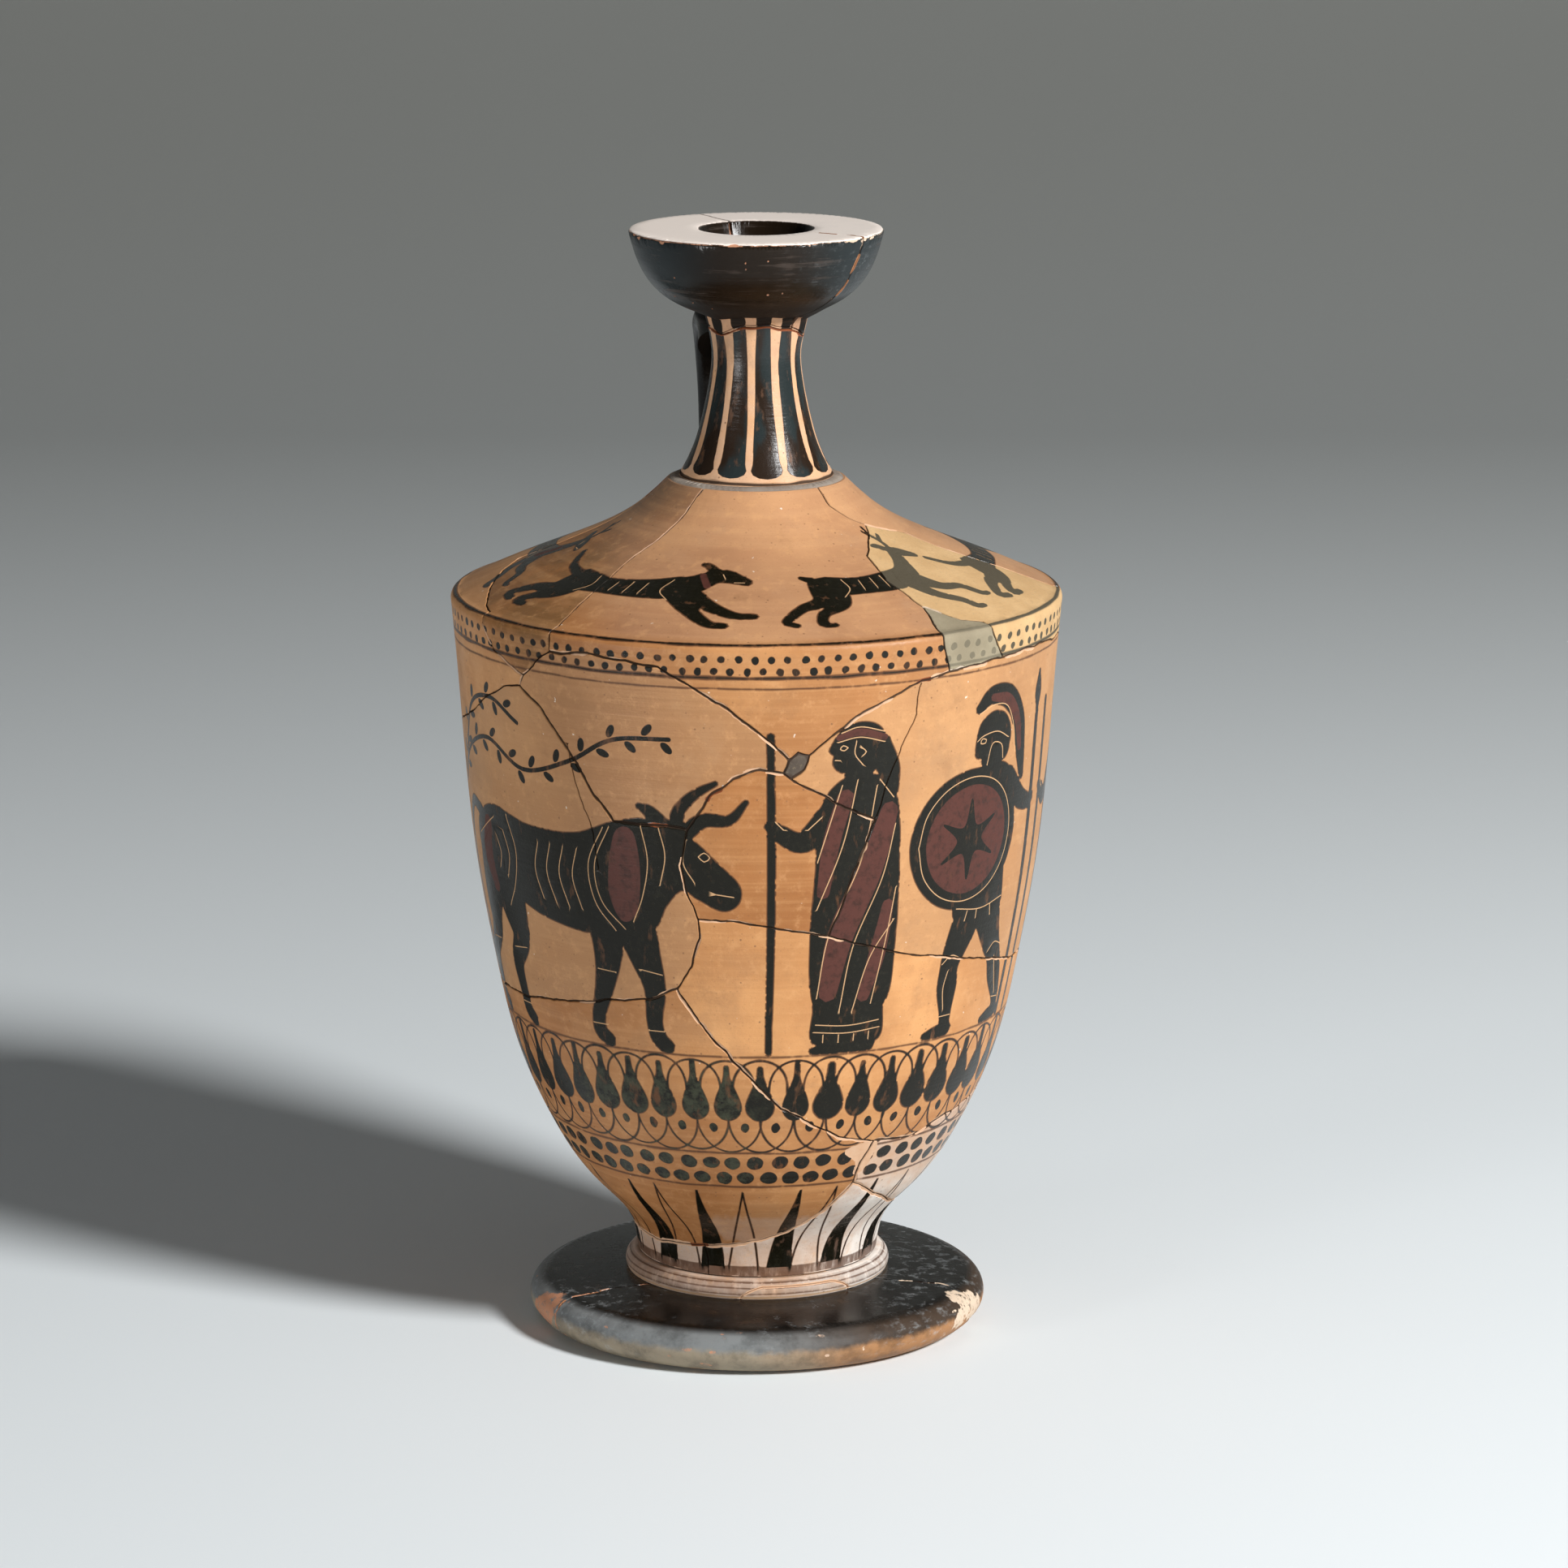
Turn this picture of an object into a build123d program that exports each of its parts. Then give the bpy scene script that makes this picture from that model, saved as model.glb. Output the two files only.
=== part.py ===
from build123d import *
import math
import os

# A shoulder lekythos, an oil flask thrown in clay, broken in antiquity and put together from its sherds.
# Millimetres, +Z up, origin at the centre of the resting face. Angle 0 is the front (-Y), positive to +X.

# Foot: a thick disc with a rounded edge, its underside hollowed inside the resting ring
FOOT_R = 45.6
FOOT_H = 10.2
FOOT_EDGE_H = 9.0
FOOT_EDGE_BULGE_H = 5.0
FOOT_REST_INSET = 3.0
FOOT_TOP_INSET = 4.0
FOOT_REST_WIDTH = 12.6
FOOT_RECESS_H = 4.0

# Body, from the bead over the foot to the ledge that the neck stands on
STEM_R = 23.9
FILLET_OUT = 2.5
FILLET_UNDERCUT = 0.4
FILLET_H = 3.8
FILLET_BULGE_H = 1.7
GROOVE = 0.6
WALL_H = 132.5
SHOULDER_R = 60.0
SHOULDER_RISE = 23.7
RIDGE_H = 2.0
RIDGE_IN = 1.6
RIDGE_BULGE_H = 1.25
RIDGE_BULGE_IN = 0.2
WALL = 4.5
FLOOR_T = 8.0
FLOOR_R = 14.0
NECK_HOLE_R = 10.5

# Neck and the plaster bed under it
SEAT_T = 0.6
SEAT_INSET = 0.2
NECK_BASE_R = 15.2
COLLAR_LEDGE = 2.2
NECK_H = 29.2
NECK_WAIST_BELOW_TOP = 5.8
NECK_BORE_R = 5.7
NECK_WALL = 3.0
NECK_TOP_FLARE = 0.7
NECK_BORE_START = 10.0

# Mouth, broken off the neck just below its bowl
MOUTH_R = 24.8
MOUTH_H = 19.2
MOUTH_STUB_H = 2.4
MOUTH_STUB_FLARE = 0.7
MOUTH_EDGE = 0.8
MOUTH_HOLE_R = 11.1
MOUTH_LIP_H = 3.0
MOUTH_LIP_IN = 0.9

# Handle
HANDLE_ANGLE = -172.0
HANDLE_W = 18.0
HANDLE_T = 6.4
HANDLE_EDGE_ROUND = 2.6
HANDLE_REACH = 34.0
HANDLE_FOOT_R = 37.0
HANDLE_TOP_DROP = 5.6
HANDLE_ARCH = 1.6
HANDLE_BEND_SHARE = 0.62
HANDLE_SINK = 1.5

# Outlines between the sizes above: share of the height, share of the change in radius
WALL_SHAPE = ((0.053, 0.042), (0.121, 0.252), (0.219, 0.490), (0.325, 0.657),
              (0.460, 0.776), (0.611, 0.873), (0.762, 0.931), (0.913, 0.972))
SHOULDER_SHAPE = ((0.190, 0.224), (0.475, 0.595), (0.750, 0.856))
NECK_SHAPE = ((0.107, 0.215), (0.274, 0.477), (0.521, 0.729), (0.846, 0.954))
BOWL_SHAPE = ((0.130, 0.340), (0.330, 0.650), (0.660, 0.885))

# Breaks as (angle, level): level 0 to 1 climbs the wall, 1 to 2 crosses the shoulder to the collar.
# They run through the wall towards a point on the axis, at one level for the wall and one for the base.
WALL_CENTRE_LEVEL = 0.785
BASE_CENTRE_LEVEL = 0.170
FAR = 4.0 * SHOULDER_R
BEHIND_LEFT = -100
BEHIND_RIGHT = 104
AT_AXIS = 2.38
PAST_MIDDLE_UP = 0.66
PAST_MIDDLE_DOWN = 0.40
PAST_BASE = 0.01
MIDDLE_BREAK = ((-11.6, 0.606), (-3, 0.604), (3.5, 0.594), (15, 0.578), (23, 0.559), (34, 0.535),
                (51, 0.510), (71, 0.480), (95, 0.465), (140, 0.436), (180, 0.420), (225, 0.420),
                (270, 0.430), (295, 0.435), (310, 0.445), (326, 0.465), (337, 0.474), (343.5, 0.496),
                (346.7, 0.532), (348.7, 0.575))
BASE_BREAK = ((30.3, 0.167), (42, 0.136), (57, 0.104), (90, 0.076), (135, 0.068), (180, 0.060),
              (225, 0.060), (270, 0.052), (306, 0.040), (333, 0.047), (350, 0.054), (362, 0.062),
              (373, 0.078), (381, 0.105), (386, 0.128))
LEFT_SHOULDER_BREAK = ((-93, 1.28), (-65, 1.03), (-57, 0.964), (-48.5, 0.940))
FRONT_SHOULDER_LEFT = ((-36.6, 2.00), (-44, 1.61), (-40.5, 1.02), (-41, 0.982))
LEFT_WALL_TOP = ((-73.5, 0.846), (-62.5, 0.889), (-55, 0.914), (-49.6, 0.924))
FRONT_LEFT = ((-49.6, 0.924), (-44.4, 0.898), (-35.5, 0.822), (-32, 0.780), (-28.2, 0.743), (-17, 0.744),
              (-13, 0.738))
FRONT_TOP = ((-41, 0.982), (-32.3, 0.990), (-18, 0.979), (-12.5, 0.956), (-5, 0.920), (0, 0.891),
             (8.1, 0.850))
RIGHT_TOP = ((8.1, 0.850), (18.8, 0.905), (32, 0.948), (38.3, 0.957), (52.7, 0.962), (68, 0.962),
             (96, 0.947))
CENTRE_TOP = ((-13, 0.738), (-8.8, 0.792), (-4.4, 0.818), (0.8, 0.829), (6, 0.824))
CENTRE_RIGHT = ((6, 0.824), (15.7, 0.777), (23, 0.750), (18.3, 0.649), (15, 0.578))
CENTRE_LEFT = ((-11.6, 0.606), (-13.7, 0.651), (-14.5, 0.684))
CHIP = ((5.2, 0.827), (6.6, 0.819), (9.4, 0.833), (10.2, 0.852), (8.1, 0.856), (6.4, 0.845))
FILL_LEFT = ((38.3, 0.957), (36.3, 1.00), (38.7, 1.18), (37, 1.42), (40, 1.615), (56, 1.805))
FILL_TOP = ((56, 1.805), (74, 1.69), (83, 1.32), (89.6, 1.01), (96, 0.947))
BAND_FILL_TOP = ((38.7, 1.18), (44, 1.06), (49, 1.00), (52.7, 0.962))
FRONT_SHOULDER_RIGHT = ((56, 1.805), (44, 1.92), (43.6, 2.00))
LOWER_BREAK = ((-16.5, 0.496), (-12.2, 0.444), (-5.2, 0.386), (6, 0.308), (11.5, 0.286), (21.5, 0.254),
               (32.4, 0.237))
SMALL_TOP = ((32.4, 0.237), (44.6, 0.232), (58, 0.252), (80, 0.265))
SMALL_LEFT = ((30.1, 0.202), (30.3, 0.167))
MOUTH_BREAKS = (57, 208)
FOOT_BREAK = ((-62, 1.30), (-60, 0.73), (0, 0.26), (72, 0.84), (67, 1.30))
FILLET_CHIP_ANGLES = (-7, 44)
FILLET_CHIP_H = 2.6
FILLET_CHIP_DEPTH = 3.5

# Levels and radii that follow from the sizes above
WALL_Z = FOOT_H + FILLET_H
SHOULDER_Z = WALL_Z + WALL_H
COLLAR_Z = SHOULDER_Z + SHOULDER_RISE
NECK_Z = COLLAR_Z + SEAT_T
MOUTH_Z = NECK_Z + NECK_H
FILLET_R = STEM_R + FILLET_OUT
RIDGE_TOP = (SHOULDER_R - RIDGE_IN, SHOULDER_Z + RIDGE_H)
COLLAR_R = NECK_BASE_R + COLLAR_LEDGE
NECK_WAIST_R = NECK_BORE_R + NECK_WALL
NECK_TOP_R = NECK_WAIST_R + NECK_TOP_FLARE


def blend(start, end, share):
    return start + (end - start) * share


def between(start, end, shape):
    """Points of an outline from start to end, both as (radius, height), with the shape's shares between."""
    middle = [(blend(start[0], end[0], out), blend(start[1], end[1], up)) for up, out in shape]
    return [start, *middle, end]


def inset(points, depth):
    """The outline moved inwards by depth, square to itself."""
    moved = []
    for index, (radius, height) in enumerate(points):
        before = points[max(index - 1, 0)]
        after = points[min(index + 1, len(points) - 1)]
        run, rise = after[0] - before[0], after[1] - before[1]
        length = math.hypot(run, rise)
        moved.append((radius - depth * rise / length, height + depth * run / length))
    return moved


def section_point(point):
    return Vector(point[0], 0, point[1])


def curve(points):
    return Spline(*[section_point(point) for point in points])


def arc(start, middle, end):
    return ThreePointArc(section_point(start), section_point(middle), section_point(end))


def straight(*points):
    return Polyline(*[section_point(point) for point in points]).edges()


def turned(edges):
    """The solid that a closed outline makes on the wheel."""
    return revolve(Face(Wire(edges)), axis=Axis.Z, revolution_arc=360).solid()


WALL_LINE = between((STEM_R, WALL_Z), (SHOULDER_R, SHOULDER_Z), WALL_SHAPE)
SHOULDER_LINE = between(RIDGE_TOP, (COLLAR_R, COLLAR_Z), SHOULDER_SHAPE)


def make_body():
    """Base, fillet, wall and shoulder in one, as thrown, with the hole that the neck stands over."""
    fillet_foot = (FILLET_R - FILLET_UNDERCUT, FOOT_H)
    fillet_bulge = (FILLET_R, FOOT_H + FILLET_BULGE_H)
    fillet_top = (STEM_R + GROOVE, WALL_Z)
    ridge_bulge = (SHOULDER_R - RIDGE_BULGE_IN, SHOULDER_Z + RIDGE_BULGE_H)
    floor_z = FOOT_H + FLOOR_T
    floor_edge = (FLOOR_R, floor_z)
    hole_foot = (NECK_HOLE_R, COLLAR_Z - WALL)
    inner_wall = inset(WALL_LINE, WALL)[2:-1]
    inner_shoulder = inset(SHOULDER_LINE, WALL)[1:-1]
    return turned([
        *straight((0, floor_z), (0, FOOT_H), fillet_foot),
        arc(fillet_foot, fillet_bulge, fillet_top),
        *straight(fillet_top, WALL_LINE[0]),
        curve(WALL_LINE),
        arc(WALL_LINE[-1], ridge_bulge, RIDGE_TOP),
        curve(SHOULDER_LINE),
        *straight((COLLAR_R, COLLAR_Z), (NECK_HOLE_R, COLLAR_Z), hole_foot),
        curve([hole_foot, *reversed(inner_shoulder), *reversed(inner_wall), floor_edge]),
        *straight(floor_edge, (0, floor_z)),
    ])


def make_foot():
    rest_edge = (FOOT_R - FOOT_REST_INSET, 0)
    top_edge = (FOOT_R - FOOT_TOP_INSET, FOOT_EDGE_H)
    return turned([
        *straight((0, FOOT_H), (0, FOOT_RECESS_H), (rest_edge[0] - FOOT_REST_WIDTH, 0), rest_edge),
        arc(rest_edge, (FOOT_R, FOOT_EDGE_BULGE_H), top_edge),
        *straight(top_edge, (FILLET_R, FOOT_H), (0, FOOT_H)),
    ])


def make_neck():
    top = (NECK_TOP_R, MOUTH_Z)
    waist = (NECK_WAIST_R, MOUTH_Z - NECK_WAIST_BELOW_TOP)
    base = (NECK_BASE_R, NECK_Z)
    return turned([
        curve([*between(base, waist, NECK_SHAPE), top]),
        *straight(top, (NECK_BORE_R, MOUTH_Z), (NECK_BORE_R, NECK_Z + NECK_BORE_START),
                  (NECK_HOLE_R, NECK_Z), base),
    ])


def make_seat_fill():
    seat = (NECK_HOLE_R, COLLAR_Z)
    rim = (COLLAR_R - SEAT_INSET, COLLAR_Z)
    return turned(straight(seat, rim, (NECK_BASE_R, NECK_Z), (NECK_HOLE_R, NECK_Z), seat))


def make_mouth():
    top_z = MOUTH_Z + MOUTH_H
    stub_top = (NECK_TOP_R + MOUTH_STUB_FLARE, MOUTH_Z + MOUTH_STUB_H)
    edge = (MOUTH_R, top_z - MOUTH_EDGE)
    hole = (MOUTH_HOLE_R, top_z)
    throat = (NECK_BORE_R, MOUTH_Z)
    return turned([
        *straight(throat, (NECK_TOP_R, MOUTH_Z), stub_top),
        curve(between(stub_top, edge, BOWL_SHAPE)),
        *straight(edge, (MOUTH_R - MOUTH_EDGE, top_z), hole),
        curve([hole, (MOUTH_HOLE_R - MOUTH_LIP_IN, top_z - MOUTH_LIP_H), throat]),
    ])


def make_handle(body, neck):
    """A strap pulled from the shoulder up to the neck, pressed onto both."""
    top_z = MOUTH_Z - HANDLE_TOP_DROP
    foot_z = height_on(SHOULDER_LINE, HANDLE_FOOT_R)
    route = ((NECK_BORE_R, top_z), (blend(NECK_TOP_R, HANDLE_REACH, 0.5), top_z + HANDLE_ARCH),
             (HANDLE_REACH, blend(foot_z, top_z, HANDLE_BEND_SHARE)), (HANDLE_FOOT_R, foot_z - HANDLE_SINK))
    path = Spline(*[section_point(point) for point in route], tangents=[(1, 0, 0.2), (0.25, 0, -1)])
    start = Plane(origin=path @ 0, x_dir=(0, 0, 1), z_dir=path % 0)
    strap = sweep(start * RectangleRounded(HANDLE_T, HANDLE_W, HANDLE_EDGE_ROUND), path=path)
    placed = strap.rotate(Axis.Z, HANDLE_ANGLE - 90.0)
    core = Cylinder(NECK_WAIST_R, NECK_H, align=(Align.CENTER, Align.CENTER, Align.MIN))
    return one_solid(placed - body - neck - core.moved(Location((0, 0, NECK_Z))))


def height_on(line, radius):
    """The height of a falling outline at a radius."""
    for (r_high, z_high), (r_low, z_low) in zip(line, line[1:]):
        if r_low <= radius <= r_high:
            return blend(z_high, z_low, (r_high - radius) / (r_high - r_low))
    return line[-1][1]


def radius_on(line, height):
    """The radius of a climbing outline at a height."""
    for (r_low, z_low), (r_high, z_high) in zip(line, line[1:]):
        if z_low <= height <= z_high:
            return blend(r_low, r_high, (height - z_low) / (z_high - z_low))
    return line[0][0]


def around(angle, radius, height):
    turn = math.radians(angle)
    return Vector(radius * math.sin(turn), -radius * math.cos(turn), height)


def on_surface(angle, level):
    """A point of a break on the outer face of the body."""
    if level <= 1:
        height = blend(WALL_Z, SHOULDER_Z, level)
        return around(angle, radius_on(WALL_LINE, height), height)
    radius = blend(RIDGE_TOP[0], COLLAR_R, level - 1)
    return around(angle, radius, height_on(SHOULDER_LINE, radius))


def along(level, start, end):
    """Points round the body at one level, close enough together to keep to it."""
    steps = math.ceil(abs(end - start) / 15)
    return [(blend(start, end, step / steps), level) for step in range(steps + 1)]


def cutter(outline, centre_level, towards):
    """A pyramid from the axis of the body through a closed break line and out past the wall."""
    centre = Vector(0, 0, blend(WALL_Z, SHOULDER_Z, centre_level))
    rays = [(on_surface(*point) - centre).normalized() for point in outline]
    middle = towards if towards else sum(rays, Vector(0, 0, 0)).normalized()
    far = [centre + ray * FAR for ray in rays]
    cap = centre + middle * FAR
    faces = []
    for first, second in zip(far, far[1:] + far[:1]):
        faces.append(Face(Wire.make_polygon([centre, first, second])))
        faces.append(Face(Wire.make_polygon([cap, first, second])))
    return Solid(Shell(faces)).fix()


def one_solid(shape):
    """The one solid of a cut, with a plain word if it came apart."""
    solids = sorted(shape.solids(), key=lambda solid: solid.volume)
    if len(solids) != 1:
        for solid in solids:
            print("a cut came apart:", round(solid.volume, 2), solid.center())
    return solids[-1]


def take(rest, outline, centre_level=WALL_CENTRE_LEVEL, towards=None):
    """The sherd inside a break line, and what is left."""
    tool = cutter(outline, centre_level, towards)
    return one_solid(rest & tool), one_solid(rest - tool)


def fillet_sector():
    """The room that the chip of the bead takes."""
    start, end = FILLET_CHIP_ANGLES
    inside, outside = FILLET_R - FILLET_CHIP_DEPTH, FILLET_R + FILLET_CHIP_DEPTH
    under, over = FOOT_H - FILLET_CHIP_H, FOOT_H + FILLET_CHIP_H
    outline = straight((inside, under), (outside, under), (outside, over), (inside, over), (inside, under))
    ring = revolve(Face(Wire(outline)), axis=Axis.Z, revolution_arc=end - start)
    return ring.rotate(Axis.Z, start - 90.0)


def break_base(base):
    sector = fillet_sector()
    return {"base_sherd": one_solid(base - sector), "base_fillet_chip": one_solid(base & sector)}


def break_lower(lower):
    """The sherds between the base break and the middle break."""
    sherds = {}
    top, foot = PAST_MIDDLE_UP, PAST_BASE
    behind_small = SMALL_TOP[-1][1]
    sherds["lower_left_sherd"], rest = take(
        lower, [*along(top, LOWER_BREAK[0][0], BEHIND_LEFT), (BEHIND_LEFT, foot), (SMALL_LEFT[-1][0], foot),
                *reversed(SMALL_LEFT), *reversed(LOWER_BREAK)])
    sherds["lower_small_sherd"], rest = take(
        rest, [(BEHIND_RIGHT, behind_small), *reversed(SMALL_TOP), (20, 0.2), (20, foot),
               (BEHIND_RIGHT, foot)])
    sherds["lower_right_sherd"], sherds["back_lower_sherd"] = take(
        rest, [*along(top, BEHIND_RIGHT, -25), (-25, 0.2), (BEHIND_RIGHT, 0.2)])
    return sherds


def break_upper(upper):
    """The sherds and fills above the middle break, each cut from what the ones before it leave."""
    sherds = {}
    foot = PAST_MIDDLE_DOWN
    sherds["chip_fill"], rest = take(upper, CHIP)
    sherds["wall_centre_sherd"], rest = take(
        rest, [*CENTRE_TOP, *CENTRE_RIGHT[1:], (15, foot), (-5, foot), *CENTRE_LEFT])
    sherds["wall_front_sherd"], rest = take(
        rest, [*FRONT_LEFT, *CENTRE_TOP[1:], *reversed(FRONT_TOP), *LEFT_SHOULDER_BREAK[-1:]])
    sherds["wall_left_sherd"], rest = take(
        rest, [*LEFT_WALL_TOP, (-5, 0.78), (-5, foot), (BEHIND_LEFT, foot), (BEHIND_LEFT, 0.80)])
    sherds["band_fill"], rest = take(rest, [*FILL_LEFT[:3], *BAND_FILL_TOP[1:]])
    sherds["shoulder_fill"], rest = take(
        rest, [*RIGHT_TOP[3:], *reversed(FILL_TOP[:-1]), *reversed(FILL_LEFT[2:-1]), (38.7, 1.0)])
    sherds["shoulder_front_sherd"], rest = take(
        rest, [*FRONT_SHOULDER_LEFT, (-20, 0.93), *RIGHT_TOP[:4], (45, 1.3), *FRONT_SHOULDER_RIGHT,
               (43.6, AT_AXIS), (-36.6, AT_AXIS)])
    sherds["wall_right_sherd"], rest = take(
        rest, [(0, 0.88), *RIGHT_TOP[1:], (BEHIND_RIGHT, 0.93), (BEHIND_RIGHT, foot), (10, foot)])
    sherds["shoulder_left_sherd"], sherds["back_upper_sherd"] = take(
        rest, [*LEFT_SHOULDER_BREAK, (-30, 0.98), (-30, AT_AXIS), (-93, AT_AXIS)])
    return sherds


def break_body(body):
    down = Vector(0, 0, -1)
    base, rest = take(body, BASE_BREAK, BASE_CENTRE_LEVEL, down)
    lower, upper = take(rest, MIDDLE_BREAK, WALL_CENTRE_LEVEL, down)
    return {**break_base(base), **break_lower(lower), **break_upper(upper)}


def break_foot(foot):
    line = [around(angle, FOOT_R * share, 0) for angle, share in FOOT_BREAK]
    front = [around(angle, 3 * FOOT_R, 0) for angle in (FOOT_BREAK[-1][0], FOOT_BREAK[0][0])]
    plan = Face(Wire.make_polygon([*line, *front]))
    tool = extrude(plan, amount=2 * FOOT_H, dir=(0, 0, 1), both=True)
    return {"foot_front_sherd": one_solid(foot & tool), "foot_back_sherd": one_solid(foot - tool)}


def break_mouth(mouth):
    start, end = MOUTH_BREAKS
    reach = 3 * MOUTH_R
    corners = [around(blend(start, end, step / 3), reach, 0) for step in range(4)]
    plan = Face(Wire.make_polygon([Vector(0, 0, 0), *corners]))
    tool = extrude(plan, amount=2 * (MOUTH_Z + MOUTH_H), dir=(0, 0, 1))
    return {"mouth_back_sherd": one_solid(mouth & tool), "mouth_front_sherd": one_solid(mouth - tool)}


body = make_body()
neck = make_neck()
pieces = break_body(body)
pieces.update(break_foot(make_foot()))
pieces.update(break_mouth(make_mouth()))
pieces["neck"] = neck
pieces["neck_seat_fill"] = make_seat_fill()
pieces["handle"] = make_handle(body, neck)

os.makedirs("parts", exist_ok=True)
for name, piece in pieces.items():
    export_step(piece, f"parts/{name}.step")
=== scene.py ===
import math
import random

import bmesh
import bpy
import numpy as np
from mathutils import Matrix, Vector, noise
from mathutils.geometry import delaunay_2d_cdt


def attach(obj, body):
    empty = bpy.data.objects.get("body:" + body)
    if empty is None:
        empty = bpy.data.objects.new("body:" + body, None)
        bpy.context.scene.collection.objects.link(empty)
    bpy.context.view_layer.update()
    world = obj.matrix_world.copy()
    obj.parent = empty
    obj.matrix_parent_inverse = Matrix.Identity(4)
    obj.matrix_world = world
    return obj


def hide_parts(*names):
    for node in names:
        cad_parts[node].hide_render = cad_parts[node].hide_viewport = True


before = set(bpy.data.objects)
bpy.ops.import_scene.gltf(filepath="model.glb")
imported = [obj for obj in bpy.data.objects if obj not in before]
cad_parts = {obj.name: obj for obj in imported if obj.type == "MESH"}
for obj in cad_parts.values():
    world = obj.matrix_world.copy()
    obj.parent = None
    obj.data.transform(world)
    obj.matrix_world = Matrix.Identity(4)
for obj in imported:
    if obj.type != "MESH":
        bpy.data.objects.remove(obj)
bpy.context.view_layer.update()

# The flask's visible surfaces are built unrolled: angle round the axis across (degrees, 0 at the front),
# length along the turned outline up (millimetres). Paint, scratches and breaks are lines in that flat net,
# so the mesh follows their edges, and they are kept as values on its points for the materials.
MM = 0.001
TURN = 180.0
PER_DEGREE = math.pi / 180.0
ONE_TURN = slice(2, -2)
OVERLAP = 16.0
SOFT_SHARE = 0.4
PAST_END = 9.0
CHANNELS = ("gloss", "red", "cut", "chip", "gap", "glue", "lime", "pale", "grey", "seed")

# Sizes repeated from the solids
WALL_Z = 14.0
SHOULDER_Z = 146.5
WALL_LINE = ((23.9, 14.0), (25.4, 21.0), (33.0, 30.0), (41.6, 43.0), (47.6, 57.1), (51.9, 75.0),
             (55.4, 95.0), (57.5, 115.0), (59.0, 135.0), (60.0, 146.5))
SHOULDER_LINE = ((58.4, 148.5), (49.2, 152.6), (34.0, 158.8), (23.3, 164.8), (17.4, 170.2))
NECK_LINE = ((15.2, 170.8), (13.8, 173.3), (12.1, 177.2), (10.46, 183.0), (9.0, 190.6), (8.7, 194.2),
             (9.4, 200.0))
BOWL_LINE = ((10.1, 202.4), (15.1, 204.5), (19.7, 207.7), (23.1, 213.0), (24.8, 218.4))
MOUTH_Z = 200.0
WALL = 4.5
EDGE_R, LEDGE_R, HOLE_R = 58.4, 17.4, 10.5
LEDGE_REACH = 24.0
BASE_R, PIT_R, PIT_Z = 26.0, 14.0, 18.2
LEDGE_IN_Z = 165.7
FOOT_R = 45.6
FRIEZE_R, SHOULDER_R = 55.0, 44.0


def spline(points, step=0.1):
    """A smooth curve through the points, even in its bend as a turned outline is."""
    p = np.array(points, float)
    t = np.concatenate([[0.0], np.cumsum(np.hypot(*np.diff(p, axis=0).T))])
    n = len(t)
    h = np.diff(t)
    a = np.eye(n)
    b = np.zeros((n, 2))
    for i in range(1, n - 1):
        a[i, i - 1:i + 2] = h[i - 1], 2 * (h[i - 1] + h[i]), h[i]
        b[i] = 6 * ((p[i + 1] - p[i]) / h[i] - (p[i] - p[i - 1]) / h[i - 1])
    m = np.linalg.solve(a, b)
    x = np.linspace(0, t[-1], max(8, int(t[-1] / step)))
    k = np.clip(np.searchsorted(t, x) - 1, 0, n - 2)
    d = (x - t[k])[:, None]
    w = h[k][:, None]
    e = w - d
    return (m[k] * e ** 3 + m[k + 1] * d ** 3) / (6 * w) + (p[k] / w - m[k] * w / 6) * e + (
        p[k + 1] / w - m[k + 1] * w / 6) * d


def straight(start, end):
    return np.linspace(start, end, 30)


def arc(start, middle, end, count=24):
    """The circle's arc through three points."""
    (ax, ay), (bx, by), (cx, cy) = start, middle, end
    d = 2 * (ax * (by - cy) + bx * (cy - ay) + cx * (ay - by))
    a2, b2, c2 = ax * ax + ay * ay, bx * bx + by * by, cx * cx + cy * cy
    x = (a2 * (by - cy) + b2 * (cy - ay) + c2 * (ay - by)) / d
    y = (a2 * (cx - bx) + b2 * (ax - cx) + c2 * (bx - ax)) / d
    first = math.atan2(ay - y, ax - x)
    sweep = (math.atan2(cy - y, cx - x) - first + math.pi) % (2 * math.pi) - math.pi
    radius = math.hypot(ax - x, ay - y)
    turn = first + sweep * np.linspace(0, 1, count)
    return np.stack([x + radius * np.cos(turn), y + radius * np.sin(turn)], 1)


class Outline:
    """A turned outline, measured along its length."""

    def __init__(self, *runs):
        points = [runs[0]]
        for run in runs[1:]:
            points.append(run[1:] if np.hypot(*(run[0] - points[-1][-1])) < 1e-6 else run)
        self.starts = np.cumsum([0] + [len(run) for run in points])
        self.p = np.concatenate(points)
        self.s = np.concatenate([[0.0], np.cumsum(np.hypot(*np.diff(self.p, axis=0).T))])
        tangent = np.gradient(self.p, axis=0)
        tangent /= np.maximum(np.hypot(*tangent.T), 1e-9)[:, None]
        self.n = np.stack([tangent[:, 1], -tangent[:, 0]], 1)
        self.length = self.s[-1]
        course = np.unwrap(np.arctan2(*np.diff(self.p, axis=0).T))
        self.corners = self.s[1:-1][np.abs(np.diff(course)) > 0.3]

    def r(self, s):
        return np.interp(s, self.s, self.p[:, 0])

    def z(self, s):
        return np.interp(s, self.s, self.p[:, 1])

    def normal(self, s):
        return np.interp(s, self.s, self.n[:, 0]), np.interp(s, self.s, self.n[:, 1])

    def find(self, run, value, axis):
        """The length at which one run reaches a radius (axis 0) or a height (axis 1)."""
        part = slice(self.starts[run], self.starts[run + 1])
        x = self.p[part, axis]
        order = np.argsort(x)
        return float(np.interp(value, x[order], self.s[part][order]))


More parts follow.
